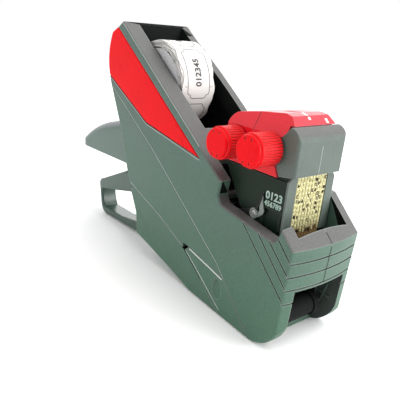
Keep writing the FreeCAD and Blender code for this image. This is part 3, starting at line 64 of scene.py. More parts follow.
# A material and short ways to add and join its shader nodes
class Nodes:
    def __init__(self, name):
        self.material = bpy.data.materials.new(name)
        self.material.use_nodes = True
        self.tree = self.material.node_tree
        self.shader = self.tree.nodes["Principled BSDF"]
        self.coords = self.add("ShaderNodeTexCoord").outputs["Object"]

    def add(self, kind, **settings):
        node = self.tree.nodes.new(kind)
        for key, value in settings.items():
            setattr(node, key, value)
        return node

    def link(self, source, node, name):
        self.tree.links.new(source, node.inputs[name])

    def noise(self, scale, detail=2.0, roughness=0.5, coords=None):
        node = self.add("ShaderNodeTexNoise")
        node.inputs["Scale"].default_value = scale
        node.inputs["Detail"].default_value = detail
        node.inputs["Roughness"].default_value = roughness
        self.link(coords or self.coords, node, "Vector")
        return node.outputs["Fac"]

    def span(self, value, low, high, fromLow=0.3, fromHigh=0.7):
        node = self.add("ShaderNodeMapRange")
        self.link(value, node, "Value")
        node.inputs["From Min"].default_value = fromLow
        node.inputs["From Max"].default_value = fromHigh
        node.inputs["To Min"].default_value = low
        node.inputs["To Max"].default_value = high
        return node.outputs["Result"]

    def blendColour(self, factor, first, second):
        node = self.add("ShaderNodeMix", data_type="RGBA")
        self.link(factor, node, "Factor")
        for socket, value in (("A", first), ("B", second)):
            spot = [item for item in node.inputs if item.name == socket and item.type == "RGBA"][0]
            if isinstance(value, (tuple, list)):
                spot.default_value = (*value, 1.0)
            else:
                self.tree.links.new(value, spot)
        return [item for item in node.outputs if item.type == "RGBA"][0]

    def part(self, vector, axis):
        node = self.add("ShaderNodeSeparateXYZ")
        self.link(vector, node, "Vector")
        return node.outputs[axis]

    def maths(self, operation, first, second=0.0):
        node = self.add("ShaderNodeMath", operation=operation)
        for index, value in enumerate((first, second)):
            if isinstance(value, (int, float)):
                node.inputs[index].default_value = value
            else:
                self.tree.links.new(value, node.inputs[index])
        return node.outputs[0]

    def bump(self, height, distance, strength=1.0, edge=0.0):
        node = self.add("ShaderNodeBump")
        node.inputs["Distance"].default_value = distance
        node.inputs["Strength"].default_value = strength
        self.link(height, node, "Height")
        if edge:
            rounding = self.add("ShaderNodeBevel", samples=4)
            rounding.inputs["Radius"].default_value = edge
            self.link(rounding.outputs["Normal"], node, "Normal")
        self.link(node.outputs["Normal"], self.shader, "Normal")

    def colour(self, value):
        self.link(value, self.shader, "Base Color")


# Moulded plastic: broad clouds and fine grains of shade, a greener tone near the ground, a painted sheen
# that lightens the faces that look up, and painted highlights along the edges
plastic = {"cloudScale": 45.0, "grainScale": 1700.0, "grainRange": (0.25, 0.75), "glossier": 0.05,
           "duller": 0.07, "lowZone": (0.015, 0.120), "paintedSheenZone": (0.25, 0.60), "edgeRadius": 0.0007,
           "edgeZone": (0.80, 0.995), "edgeHighlightColour": (0.42, 0.46, 0.44)}


def mouldedPlastic(name, colour, roughness, grain=0.00006, shade=0.12, edge=0.0005, sheen=0.5, speck=0.14,
                   paintedEdgeHighlight=0.0, paintedTopSheen=None, lowTone=None):
    kit = Nodes(name)
    broad = kit.noise(plastic["cloudScale"], detail=3.0)
    fine = kit.noise(plastic["grainScale"], roughness=0.7)
    darker = tuple(value * (1 - shade) for value in colour)
    lighter = tuple(min(1.0, value * (1 + shade)) for value in colour)
    tone = kit.blendColour(kit.span(broad, 0.0, 1.0), darker, lighter)
    surface = kit.add("ShaderNodeNewGeometry").outputs["Normal"]
    if lowTone:
        height = kit.part(kit.coords, "Z")
        tone = kit.blendColour(kit.span(height, 1.0, 0.0, *plastic["lowZone"]), tone, lowTone)
    # Faces that look up are blended towards a paler colour: a painted sheen from the lamps above
    if paintedTopSheen:
        upward = kit.part(surface, "Z")
        tone = kit.blendColour(kit.span(upward, 0.0, 1.0, *plastic["paintedSheenZone"]), tone, paintedTopSheen)
    grains = kit.span(fine, 1.0 - speck, 1.0 + speck, *plastic["grainRange"])
    mixed = kit.add("ShaderNodeVectorMath", operation="SCALE")
    kit.link(tone, mixed, 0)
    kit.link(grains, mixed, "Scale")
    finished = mixed.outputs[0]
    # Edges found by the rounded normal are blended towards a pale grey: a painted highlight along the edges
    if paintedEdgeHighlight:
        rounding = kit.add("ShaderNodeBevel", samples=6)
        rounding.inputs["Radius"].default_value = plastic["edgeRadius"]
        turned = kit.add("ShaderNodeVectorMath", operation="DOT_PRODUCT")
        kit.link(rounding.outputs["Normal"], turned, 0)
        kit.link(surface, turned, 1)
        edges = kit.span(turned.outputs["Value"], paintedEdgeHighlight, 0.0, *plastic["edgeZone"])
        finished = kit.blendColour(edges, finished, plastic["edgeHighlightColour"])
    kit.colour(finished)
    gloss = kit.span(broad, roughness - plastic["glossier"], roughness + plastic["duller"])
    kit.link(gloss, kit.shader, "Roughness")
    kit.shader.inputs["Specular IOR Level"].default_value = sheen
    kit.bump(fine, grain, edge=edge)
    return kit.material


# Thin marks and lines are too small for strong grain and rounded edges
def markPlastic(name, colour, roughness=0.5, sheen=0.5):
    return mouldedPlastic(name, colour, roughness, grain=0.00001, edge=0.0, sheen=sheen)


# Pins and screws, with lathe lines running round them
steel = {"colour": (0.60, 0.60, 0.61), "darker": 0.85, "roughness": (0.22, 0.4), "lineScale": 600.0,
         "stretch": (1.0, 12.0, 12.0), "lineDepth": 0.00001, "lineStrength": 0.6, "edgeRadius": 0.0002}


def turnedSteel(name):
    kit = Nodes(name)
    stretch = kit.add("ShaderNodeMapping")
    kit.link(kit.coords, stretch, "Vector")
    stretch.inputs["Scale"].default_value = steel["stretch"]
    lines = kit.noise(steel["lineScale"], coords=stretch.outputs["Vector"])
    shade = tuple(value * steel["darker"] for value in steel["colour"])
    kit.colour(kit.blendColour(kit.span(lines, 0.0, 1.0), shade, steel["colour"]))
    kit.shader.inputs["Metallic"].default_value = 1.0
    kit.link(kit.span(lines, *steel["roughness"]), kit.shader, "Roughness")
    kit.bump(lines, steel["lineDepth"], steel["lineStrength"], steel["edgeRadius"])
    return kit.material


# Matt rubber and foam, with a fine grain
rubber = {"grainScale": 2600.0, "darker": 0.8, "glossier": 0.06, "duller": 0.08, "grain": 0.00005,
          "edgeRadius": 0.0003}


def matRubber(name, colour, roughness=0.75, grainScale=rubber["grainScale"], sheen=0.5):
    kit = Nodes(name)
    fine = kit.noise(grainScale, detail=3.0, roughness=0.6)
    shade = tuple(value * rubber["darker"] for value in colour)
    kit.colour(kit.blendColour(kit.span(fine, 0.0, 1.0), shade, colour))
    gloss = kit.span(fine, roughness - rubber["glossier"], roughness + rubber["duller"])
    kit.link(gloss, kit.shader, "Roughness")
    kit.shader.inputs["Specular IOR Level"].default_value = sheen
    kit.bump(fine, rubber["grain"], edge=rubber["edgeRadius"])
    return kit.material


# The type bands are pale rubber, stained by the ink at their lower end
bandRubber = {"dull": (0.56, 0.52, 0.26), "clean": (0.74, 0.70, 0.38), "stain": (0.20, 0.10, 0.03),
              "stainZone": (0.0605, 0.0655), "stainShare": 0.9, "roughness": 0.6}


def typeRubber(name):
    kit = Nodes(name)
    fine = kit.noise(rubber["grainScale"], detail=3.0, roughness=0.6)
    height = kit.part(kit.coords, "Z")
    pale = kit.blendColour(kit.span(fine, 0.0, 1.0), bandRubber["dull"], bandRubber["clean"])
    stained = kit.span(height, bandRubber["stainShare"], 0.0, *bandRubber["stainZone"])
    kit.colour(kit.blendColour(stained, pale, bandRubber["stain"]))
    kit.shader.inputs["Roughness"].default_value = bandRubber["roughness"]
    kit.bump(fine, rubber["grain"], edge=rubber["edgeRadius"])
    return kit.material


# Paper, card and printing ink, with a trace of fibre
paper = {"fibreScale": 3200.0, "darker": 0.94, "roughness": (0.5, 0.65), "fibreDepth": 0.00002,
         "fibreStrength": 0.8}


def labelPaper(name, colour=(0.86, 0.86, 0.85)):
    kit = Nodes(name)
    fibre = kit.noise(paper["fibreScale"], detail=4.0, roughness=0.6)
    shade = tuple(value * paper["darker"] for value in colour)
    kit.colour(kit.blendColour(kit.span(fibre, 0.0, 1.0), shade, colour))
    kit.link(kit.span(fibre, *paper["roughness"]), kit.shader, "Roughness")
    kit.bump(fibre, paper["fibreDepth"], paper["fibreStrength"])
    return kit.material


# The side of the inner turns: dark lines between the layers, a little uneven
rollLayers = {"centre": (0, 17.0, 118.6), "pitch": 0.0009, "wobble": 0.9, "wobbleScale": 160.0,
              "gap": 0.26, "shade": (0.07, 0.07, 0.08), "paper": (0.76, 0.76, 0.77), "roughness": 0.7,
              "depth": 0.0004, "strength": 0.8}


def rollSide(name):
    kit = Nodes(name)
    place = kit.add("ShaderNodeVectorMath", operation="SUBTRACT")
    kit.link(kit.coords, place, 0)
    place.inputs[1].default_value = point(*rollLayers["centre"])
    across = kit.part(place.outputs[0], "Y")
    up = kit.part(place.outputs[0], "Z")
    squares = kit.maths("ADD", kit.maths("MULTIPLY", across, across), kit.maths("MULTIPLY", up, up))
    radius = kit.maths("SQRT", squares)
    turn = kit.maths("DIVIDE", kit.maths("ARCTAN2", up, across), 2 * math.pi)
    wobble = kit.maths("MULTIPLY", kit.noise(rollLayers["wobbleScale"]), rollLayers["wobble"])
    layers = kit.maths("ADD", kit.maths("DIVIDE", radius, rollLayers["pitch"]), turn)
    wave = kit.maths("FRACT", kit.maths("ADD", layers, wobble))
    kit.colour(kit.blendColour(kit.span(wave, 0.0, 1.0, 0.0, rollLayers["gap"]), rollLayers["shade"],
                               rollLayers["paper"]))
    kit.shader.inputs["Roughness"].default_value = rollLayers["roughness"]
    kit.bump(wave, rollLayers["depth"], rollLayers["strength"])
    return kit.material


greenGrey = (0.074, 0.118, 0.098)
lowGreen = (0.052, 0.120, 0.078)
# A paler grey for faces that look up: a painted sheen
paintedSheenGrey = (0.108, 0.108, 0.104)
paints = {
    "body": mouldedPlastic("mouldedBody", greenGrey, 0.42, grain=0.00009, sheen=0.3, speck=0.3, paintedEdgeHighlight=0.55,
                           paintedTopSheen=paintedSheenGrey, lowTone=lowGreen),
    # Near-black painted shade for the case's inner faces
    "inside": mouldedPlastic("paintedShadeInside", (0.006, 0.008, 0.007), 0.6, shade=0.3, edge=0.0,
                             sheen=0.06),
    "handle": mouldedPlastic("mouldedHandle", (0.066, 0.116, 0.094), 0.34, sheen=0.5, speck=0.2, paintedEdgeHighlight=0.3,
                             paintedTopSheen=(0.15, 0.16, 0.17)),
    "lever": mouldedPlastic("mouldedLever", (0.034, 0.070, 0.052), 0.30, grain=0.00002, sheen=0.5,
                            paintedEdgeHighlight=0.25),
    "head": mouldedPlastic("mouldedHead", (0.007, 0.016, 0.009), 0.38, grain=0.00002, sheen=0.14,
                           paintedEdgeHighlight=0.12),
    "housing": mouldedPlastic("mouldedHousing", (0.082, 0.108, 0.092), 0.40, grain=0.00003, sheen=0.35,
                              speck=0.2, paintedEdgeHighlight=0.3, paintedTopSheen=paintedSheenGrey),
    "red": mouldedPlastic("mouldedRed", (0.68, 0.002, 0.006), 0.30, grain=0.00004, shade=0.05, sheen=0.07,
                          paintedEdgeHighlight=0.14),
    # The cover's paler pink on faces that look up is a painted sheen
    "cover": mouldedPlastic("mouldedCover", (0.64, 0.005, 0.013), 0.30, grain=0.00006, shade=0.06,
                            sheen=0.24, paintedEdgeHighlight=0.16, paintedTopSheen=(0.60, 0.035, 0.050)),
    "dark": mouldedPlastic("mouldedDark", (0.010, 0.011, 0.011), 0.42, grain=0.00003, sheen=0.2),
    "steel": turnedSteel("turnedSteel"),
    "rubber": matRubber("blackRubber", (0.006, 0.007, 0.007), sheen=0.12),
    "type": typeRubber("typeRubber"),
    "foam": matRubber("inkFoam", (0.012, 0.008, 0.016), 0.9, 900.0, sheen=0.1),
    "paper": labelPaper("labelPaper"),
    "card": labelPaper("coreCard", (0.40, 0.29, 0.18)),
    "strip": labelPaper("labelStrip", (0.68, 0.67, 0.645)),
    "rollSide": rollSide("rollSide"),
    "print": labelPaper("printedLine", (0.03, 0.03, 0.035)),
    "typeRaised": matRubber("typeRaised", (0.70, 0.66, 0.34), 0.6),
    "typeInk": matRubber("typeInk", (0.035, 0.025, 0.012), 0.6, sheen=0.2),
    # A dark grey painted shade for the inner faces low in the case's nose
    "nose": mouldedPlastic("paintedShadeNose", (0.045, 0.055, 0.050), 0.5, edge=0.0, sheen=0.2),
    "paleMark": markPlastic("paleMark", (0.30, 0.42, 0.36)),
    "clip": markPlastic("clipGrey", (0.16, 0.19, 0.17), 0.3),
    "white": markPlastic("whiteMark", (0.85, 0.85, 0.80), 0.45),
    # Painted highlights: a pale line for the case's edges and the housing's seam, a paler one for the
    # catches
    "highlightLine": markPlastic("highlightLine", (0.30, 0.34, 0.32), 0.4),
    "highlightPale": markPlastic("highlightPale", (0.52, 0.55, 0.54), 0.35),
    "seamShade": markPlastic("seamShade", (0.020, 0.030, 0.024), sheen=0.2),
    "groove": markPlastic("grooveShade", (0.25, 0.004, 0.008), sheen=0.1),
}
print("materials made")

paintOf = {
    "right_shell": "body", "left_shell": "body", "bottom_flap": "body", "right_catch": "body",
    "left_catch": "body", "handle": "handle", "trigger_lever": "lever", "right_side_panel": "red",
    "left_side_panel": "red", "top_cover": "cover", "front_knob": "red", "rear_knob": "red",
    "right_head_frame": "head", "left_head_frame": "head", "front_housing": "housing",
    "front_type_bands": "type", "rear_type_bands": "type", "front_type_wheels": "dark",
    "rear_type_wheels": "dark", "front_type_anvil": "dark", "rear_type_anvil": "dark",
    "ink_roller": "foam", "ink_holder": "dark", "ink_holder_pivots": "steel", "platen": "dark",
    "peel_edge": "steel", "right_head_guide": "dark", "left_head_guide": "dark", "feed_wheel": "dark",
    "feed_shaft": "steel", "feed_arm": "dark", "applicator_roller": "rubber",
    "applicator_axle": "steel", "lever_pivot_pin": "steel", "flap_hinge_pins": "steel",
    "head_drive_pin": "steel", "front_detent_sleeve": "steel", "rear_detent_sleeve": "steel",
    "roll_axle": "steel", "right_roll_hub": "dark", "left_roll_hub": "dark", "label_core": "card",
    "label_roll_body": "paper", "label_roll_outer": "paper", "label_web": "paper",
    "case_screws": "steel",
}
for nodeName, paint in paintOf.items():
    paintSlots = nodes[nodeName].data.materials
    paintSlots.clear()
    paintSlots.append(paints[paint])
print("frame painted")


# A node's surface, to cast rays at
def surfaceOf(name):
    work = bmesh.new()
    work.from_mesh(nodes[name].data)
    work.transform(nodes[name].matrix_world)
    tree = BVHTree.FromBMesh(work)
    work.free()
    return tree


# Painted shade: the case's inner faces are near black, and a dark grey low in the nose. A face that looks
# at either half of the case is an inner one. The rays start beyond a groove's own walls, so that grooves
# stay in the case's colour
inside = {
    "reach": {"right_shell": 0.062, "left_shell": 0.062, "bottom_flap": 0.030}, "start": 0.003,
    "nose": {"y": -0.078, "z": 0.040},
    "behindRoll": {"facing": -0.3, "y": 0.033, "z": 0.120, "half": 0.0225},
}
caseTrees = [surfaceOf(name) for name in ("right_shell", "left_shell")]


def isInner(centre, normal, reach):
    zone = inside["behindRoll"]
    if (normal.y < zone["facing"] and centre.y > zone["y"] and centre.z > zone["z"]
            and abs(centre.x - seam) < zone["half"]):
        return True
    begin = centre + normal * inside["start"]
    return any(tree.ray_cast(begin, normal, reach)[0] is not None for tree in caseTrees)


def paintInside():
    for name, reach in inside["reach"].items():
        thing = nodes[name]
        thing.data.materials.append(paints["inside"])
        thing.data.materials.append(paints["nose"])
        turned = thing.matrix_world.to_3x3()
        for face in thing.data.polygons:
            normal = (turned @ face.normal).normalized()
            centre = thing.matrix_world @ face.center
            if isInner(centre, normal, reach):
                low = centre.y < inside["nose"]["y"] and centre.z < inside["nose"]["z"]
                face.material_index = 2 if low else 1


paintInside()
print("inside of the case painted")

# Floor and light
floor = {"half": 3.0, "drop": 0.0002, "cloudScale": 3.0, "shade": (0.985, 0.985, 0.985),
         "white": (1.0, 1.0, 1.0), "roughness": 0.9}
bpy.ops.mesh.primitive_plane_add(size=2 * floor["half"], location=(0, 0, -floor["drop"]))
ground = bpy.context.object
ground.name = "pale_floor"
groundKit = Nodes("paleFloor")
groundTone = groundKit.noise(floor["cloudScale"])
groundKit.colour(groundKit.blendColour(groundTone, floor["shade"], floor["white"]))
groundKit.shader.inputs["Roughness"].default_value = floor["roughness"]
ground.data.materials.append(groundKit.material)

scene = bpy.context.scene
scene.view_settings.view_transform = "Standard"

# The room is bright above and behind the gun and dimmer on the other side, as in a light tent. The camera
# sees it plain white
room = {"bright": (0.50, 0.60, 0.62), "zone": (-0.3, 0.7), "low": 0.52, "high": 1.25, "seen": 1.0}


def makeRoom():
    world = bpy.data.worlds.new("studio")
    scene.world = world
    world.use_nodes = True
    tree = world.node_tree
    plain = tree.nodes["Background"]
    plain.inputs["Color"].default_value = (1.0, 1.0, 1.0, 1.0)
    coords = tree.nodes.new("ShaderNodeTexCoord")
    facing = tree.nodes.new("ShaderNodeVectorMath")
    facing.operation = "DOT_PRODUCT"
    facing.inputs[1].default_value = Vector(room["bright"]).normalized()
    tree.links.new(coords.outputs["Generated"], facing.inputs[0])
    ramp = tree.nodes.new("ShaderNodeMapRange")
    ramp.inputs["From Min"].default_value, ramp.inputs["From Max"].default_value = room["zone"]
    ramp.inputs["To Min"].default_value = room["low"]
    ramp.inputs["To Max"].default_value = room["high"]
    tree.links.new(facing.outputs["Value"], ramp.inputs["Value"])
    tree.links.new(ramp.outputs["Result"], plain.inputs["Strength"])
    seen = tree.nodes.new("ShaderNodeBackground")
    seen.inputs["Color"].default_value = (1.0, 1.0, 1.0, 1.0)
    seen.inputs["Strength"].default_value = room["seen"]
    path = tree.nodes.new("ShaderNodeLightPath")
    both = tree.nodes.new("ShaderNodeMixShader")
    tree.links.new(path.outputs["Is Camera Ray"], both.inputs["Fac"])
    tree.links.new(plain.outputs["Background"], both.inputs[1])
    tree.links.new(seen.outputs["Background"], both.inputs[2])
    tree.links.new(both.outputs["Shader"], tree.nodes["World Output"].inputs["Surface"])


makeRoom()

# Soft boxes: place and target in metres, size across and down, power in watts
lamps = {
    "topSoft": {"power": 6.5, "place": (0.25, -0.35, 0.95), "target": (0, 0, 0.05), "size": (0.9, 0.9)},
    "frontSoft": {"power": 8.0, "place": (0.55, -0.95, 0.35), "target": (0, -0.05, 0.06),
                  "size": (0.6, 0.6)},
    "sideSoft": {"power": 2.2, "place": (-0.95, 0.05, 0.45), "target": (0, 0, 0.06), "size": (0.6, 0.6)},
    "backSoft": {"power": 4.0, "place": (0.78, 0.90, 0.50), "target": (0, 0, 0.08), "size": (1.0, 0.6)},
}


def softLight(name, place, target, size, power):
    data = bpy.data.lights.new(name, "AREA")
    data.shape = "RECTANGLE"
    data.size, data.size_y = size
    data.energy = power
    lamp = bpy.data.objects.new(name, data)
    scene.collection.objects.link(lamp)
    lamp.location = place
    lamp.rotation_euler = (Vector(target) - Vector(place)).to_track_quat("-Z", "Y").to_euler()


for name, lamp in lamps.items():
    softLight(name, **lamp)
print("light and floor set")

# Camera, worked out from the photo's edges
view = {
    "place": (-0.197616, -0.255918, 0.158196),
    "right": (0.7751306, -0.6252675, 0.0906265),
    "up": (0.1439528, 0.3144520, 0.9382950),
    "forward": (0.6151830, 0.7142552, -0.3337504),
    "lens": 45.0,
    "sensor": 36.0,
    "near": 0.01,
}
cameraData = bpy.data.cameras.new("photoCamera")
cameraData.lens = view["lens"]
cameraData.sensor_width = view["sensor"]
cameraData.clip_start = view["near"]
camera = bpy.data.objects.new("photoCamera", cameraData)
scene.collection.objects.link(camera)
columns = (Vector(view["right"]), Vector(view["up"]), -Vector(view["forward"]))
camera.matrix_world = Matrix.Translation(view["place"]) @ Matrix(columns).transposed().to_4x4()
scene.camera = camera
print("camera set")


# A piece of the scene on one of the gun's bodies, with its faces turned outward
def newPiece(name, verts, faces, paint, body):
    mesh = bpy.data.meshes.new(name)
    mesh.from_pydata([tuple(vert) for vert in verts], [], faces)
    mesh.validate()
    work = bmesh.new()
    work.from_mesh(mesh)
    bmesh.ops.recalc_face_normals(work, faces=work.faces)
    work.to_mesh(mesh)
    work.free()
    piece = bpy.data.objects.new(name, mesh)
    scene.collection.objects.link(piece)
    mesh.materials.append(paints[paint])
    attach(piece, body)
    return piece


def joinedMesh(name, meshes, paint, body):
    verts = []
    faces = []
    for coords, polygons in meshes:
        start = len(verts)
        verts.extend(coords)
        faces.extend(tuple(start + index for index in polygon) for polygon in polygons)
    newPiece(name, verts, faces, paint, body)


# A block between two corners given in millimetres
def boxMesh(low, high):
    rangeX, rangeY, rangeZ = zip(low, high)
    verts = [point(x, y, z) for x in rangeX for y in rangeY for z in rangeZ]
    return verts, [(0, 1, 3, 2), (4, 6, 7, 5), (0, 4, 5, 1), (2, 3, 7, 6), (0, 2, 6, 4), (1, 5, 7, 3)]


# A solid strip between two rows of points, with its thickness along a given direction
def ribbonMesh(left, right, lift):
    verts = []
    for a, b, up in zip(left, right, lift):
        verts.extend((a, b, b + up, a + up))
    faces = []
    for step in range(len(left) - 1):
        base = step * 4
        for side in range(4):
            following = (side + 1) % 4
            faces.append((base + side, base + following, base + 4 + following, base + 4 + side))
    last = (len(left) - 1) * 4
    faces.append((0, 1, 2, 3))
    faces.append((last + 3, last + 2, last + 1, last))
    return verts, faces


# A round wire along a path in the side's plane
def wireMesh(path, radius, sides=12):
    verts = []
    faces = []
    across = Vector((1, 0, 0))
    for step, place in enumerate(path):
        before = path[max(0, step - 1)]
        after = path[min(len(path) - 1, step + 1)]
        out = (after - before).normalized().cross(across)
        for side in range(sides):
            angle = 2 * math.pi * side / sides
            verts.append(place + (across * math.cos(angle) + out * math.sin(angle)) * radius)
    for step in range(len(path) - 1):
        for side in range(sides):
            following = (side + 1) % sides
            faces.append((step * sides + side, step * sides + following,
                          (step + 1) * sides + following, (step + 1) * sides + side))
    faces.append(tuple(reversed(range(sides))))
    faces.append(tuple((len(path) - 1) * sides + side for side in range(sides)))
    return verts, faces


# Digits as a flat mesh, with the height of a digit and a little extra weight
glyphShape = {"sizeToHeight": 1.4, "weight": 0.035, "curveSteps": 3}


def glyphMesh(words, height, depth):
    curve = bpy.data.curves.new("glyph", "FONT")
    curve.body = words
    curve.size = height * glyphShape["sizeToHeight"]
    curve.extrude = depth / 2
    curve.offset = height * glyphShape["weight"]
    curve.align_x = "CENTER"
    curve.align_y = "CENTER"
    curve.resolution_u = glyphShape["curveSteps"]
    thing = bpy.data.objects.new("glyph", curve)
    scene.collection.objects.link(thing)
    mesh = bpy.data.meshes.new_from_object(thing.evaluated_get(bpy.context.evaluated_depsgraph_get()))
    verts = [vert.co.copy() for vert in mesh.vertices]
    faces = [tuple(face.vertices) for face in mesh.polygons]
    bpy.data.objects.remove(thing)
    bpy.data.curves.remove(curve)
    bpy.data.meshes.remove(mesh)
    return verts, faces


# A flat outline in the side's plane, given some thickness across
def plateMesh(outline, x, thick):
    size = len(outline)
    verts = [point(side, y, z) for side in (x - thick / 2, x + thick / 2) for y, z in outline]
    faces = [tuple(range(size)), tuple(reversed(range(size, 2 * size)))]
    for index in range(size):
        following = (index + 1) % size
        faces.append((index, following, size + following, size + index))
    return verts, faces


# Turns a flat glyph so that its reading direction, its up and its face point as given
def placedGlyph(glyph, centre, along, up):
    out = along.cross(up)
    verts = [centre + along * vert.x + up * vert.y + out * vert.z for vert in glyph[0]]
    return verts, glyph[1]


# A fine line laid on a surface: its points start clear of the gun and are cast on to it along a direction
fineLine = {"reach": 0.08, "sink": 0.00008, "lift": 0.02, "beside": 40, "ahead": -150, "above": 140}


def surfaceLine(points, direction, width, trees, step=1.0):
    samples = []
    for first, last in zip(points, points[1:]):
        count = max(1, int((Vector(last) - Vector(first)).length / step))
        samples += [Vector(first).lerp(Vector(last), part / count) for part in range(count)]
    samples.append(Vector(points[-1]))
    found = []
    aim = Vector(direction)
    for sample in samples:
        start = point(*sample)
        hits = [tree.ray_cast(start, aim, fineLine["reach"]) for tree in trees]
        hits = [hit for hit in hits if hit[0] is not None]
        if hits:
            best = min(hits, key=lambda hit: hit[3])
            found.append((best[0], best[1]))
    left, right, raised = [], [], []
    for index, (place, normal) in enumerate(found):
        along = found[min(index + 1, len(found) - 1)][0] - found[max(index - 1, 0)][0]
        across = along.cross(normal).normalized() * (width * mm / 2)
        base = place - normal * fineLine["sink"]
        left.append(base - across)
        right.append(base + across)
        raised.append(normal * (fineLine["sink"] + fineLine["lift"] * mm))
    verts, faces = ribbonMesh(left, right, raised)
    low, high = cadBox
    verts = [Vector([min(max(vert[axis], low[axis]), high[axis]) for axis in range(3)]) for vert in verts]
    return verts, faces


# A line on the case's side or a catch's, from places (y, z) in millimetres
def sideLine(side, path, width, trees):
    return surfaceLine([(side * fineLine["beside"], y, z) for y, z in path], (-side, 0, 0), width, trees)


# Lines along the crease, the panel's edge, the rim and the flap, the catches' edges and the front's seam
# The light lines and the catches' lines are painted highlights along those edges
caseLines = {
    "light": (((50.0, 111.8), (-2.9, 79.7), (-71.5, 32.0), (-79.4, 24.2)),
              ((-79.8, 23.0), (-100.9, 1.7)),
              ((53.2, 117.7), (6.2, 94.5), (-48.4, 85.5)),
              ((-47.0, 93.0), (40.0, 153.4)),
              ((27.0, 49.4), (-11.8, 37.9), (-37.6, 27.8))),
    "lightWidth": 0.42,
    "dark": (((49.6, 110.8), (-2.9, 79.0), (-71.5, 31.3), (-79.2, 23.6)), ((-79.6, 22.2), (-101.4, 0.9))),
    "darkWidth": 0.3,
    "catchTop": ((-45.4, 29.2), (-77.4, 23.9)), "catchTopWidth": 0.9,
    "catchLow": ((-42.4, 26.2), (-76.4, 3.4)), "catchLowWidth": 0.42,
    "seam": ((-124.58, 38.0), (-125.6, 58.8), (-125.2, 58.8), (-124.2, 38.0)), "seamWidth": 0.7,
    "seamTop": (59.6, 64.6), "seamTopX": 0.05, "seamTopStep": 0.5,
}


def makeCaseLines():
    light, dark = [], []
    for side in (-1, 1):
        light += [sideLine(side, path, caseLines["lightWidth"], caseTrees) for path in caseLines["light"]]
        dark += [sideLine(side, path, caseLines["darkWidth"], caseTrees) for path in caseLines["dark"]]
    top = [(caseLines["seamTopX"], fineLine["ahead"], z) for z in caseLines["seamTop"]]
    dark.append(surfaceLine(top, (0, 1, 0), caseLines["seamWidth"], caseTrees, caseLines["seamTopStep"]))
    joinedMesh("case_highlight_lines", light, "highlightLine", "case")
    joinedMesh("case_dark_lines", dark, "seamShade", "case")
    for name, side in (("right_catch", -1), ("left_catch", 1)):
        tree = surfaceOf(name)
        lines = [sideLine(side, caseLines[key], caseLines[key + "Width"], [tree])
                 for key in ("catchTop", "catchLow")]
        joinedMesh(name + "_edge", lines, "highlightPale", name + "_body")


makeCaseLines()
print("case lines made")

# The label strip wound on the roll: one ribbon with wavy edges
roll = {"y": 17.0, "z": 118.6, "radius": 27.3, "inner": 22.1, "turns": 9, "layer": 0.42, "half": 12.1,
        "wave": 0.9, "wavePitch": 19.0, "steps": 96, "leave": -49.3}


def rollRadius(angle):
    share = angle / (2 * math.pi * roll["turns"])
    return roll["inner"] + (roll["radius"] - roll["layer"] - roll["inner"]) * share


def stripEdge(length):
    return roll["half"] + roll["wave"] * math.sin(2 * math.pi * length / roll["wavePitch"])


# The winding ends at the rear of the roll, where the strip goes down into the case
def rollPoint(angle, x, lift):
    heading = math.radians(roll["leave"]) - (angle - 2 * math.pi * roll["turns"])
    radius = rollRadius(angle) + lift
    return point(x, roll["y"] + radius * math.cos(heading), roll["z"] + radius * math.sin(heading))


def rollLength(angle):
    return angle * (roll["inner"] + rollRadius(angle)) / 2


def makeWinding():
    left, right, lift = [], [], []
    total = roll["turns"] * roll["steps"]
    for step in range(total + 1):
        angle = 2 * math.pi * roll["turns"] * step / total
        half = stripEdge(rollLength(angle))
        left.append(rollPoint(angle, -half, 0.0))
        right.append(rollPoint(angle, half, 0.0))
        lift.append(rollPoint(angle, half, roll["layer"]) - rollPoint(angle, half, 0.0))
    verts, faces = ribbonMesh(left, right, lift)
    piece = newPiece("wound_label_strip", verts, faces, "strip", "roll")
    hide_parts("label_roll_outer")


# Printed outlines of the labels on the outermost turn, each with a plain row of digits and cuts to the
# strip's edges
label = {"count": 4, "length": 33.0, "gap": 4.0, "half": 8.6, "shoulder": 2.2, "wide": 1.3,
         "narrow": 0.15, "line": 0.42, "raise": 0.05, "clear": 0.005, "start": 24.5, "grain": 1.2,
         "words": "012345", "wordHeight": 4.3, "wordDepth": 0.04, "wordRaise": 0.12}
cuts = {"along": 0.27, "half": 0.1, "from": 0.2, "bend": 1.6, "out": 0.6, "back": 0.4, "edge": 0.7}


def labelOutline():
    half, side, shoulder = label["length"] / 2, label["half"], label["shoulder"]
    wide, narrow = label["wide"] * shoulder, label["narrow"] * shoulder
    corner = [(half - 2 * shoulder, side), (half - wide, side - narrow),
              (half - shoulder, side - shoulder), (half - narrow, side - wide), (half, side - 2 * shoulder)]
    points = [(0.0, side)] + corner + [(half, 0.0)]
    points += [(u, -v) for u, v in reversed(corner)] + [(0.0, -side)]
    points += [(-u, v) for u, v in reversed(points[1:-1])]
    return points


# A point of the print, u along the strip from the label's middle and v across it
def printPoint(middle, u, v, lift):
    return rollPoint(middle + u / roll["radius"], v, roll["layer"] + lift)


def printLift(middle, u, v):
    return printPoint(middle, u, v, label["raise"]) - printPoint(middle, u, v, 0.0)


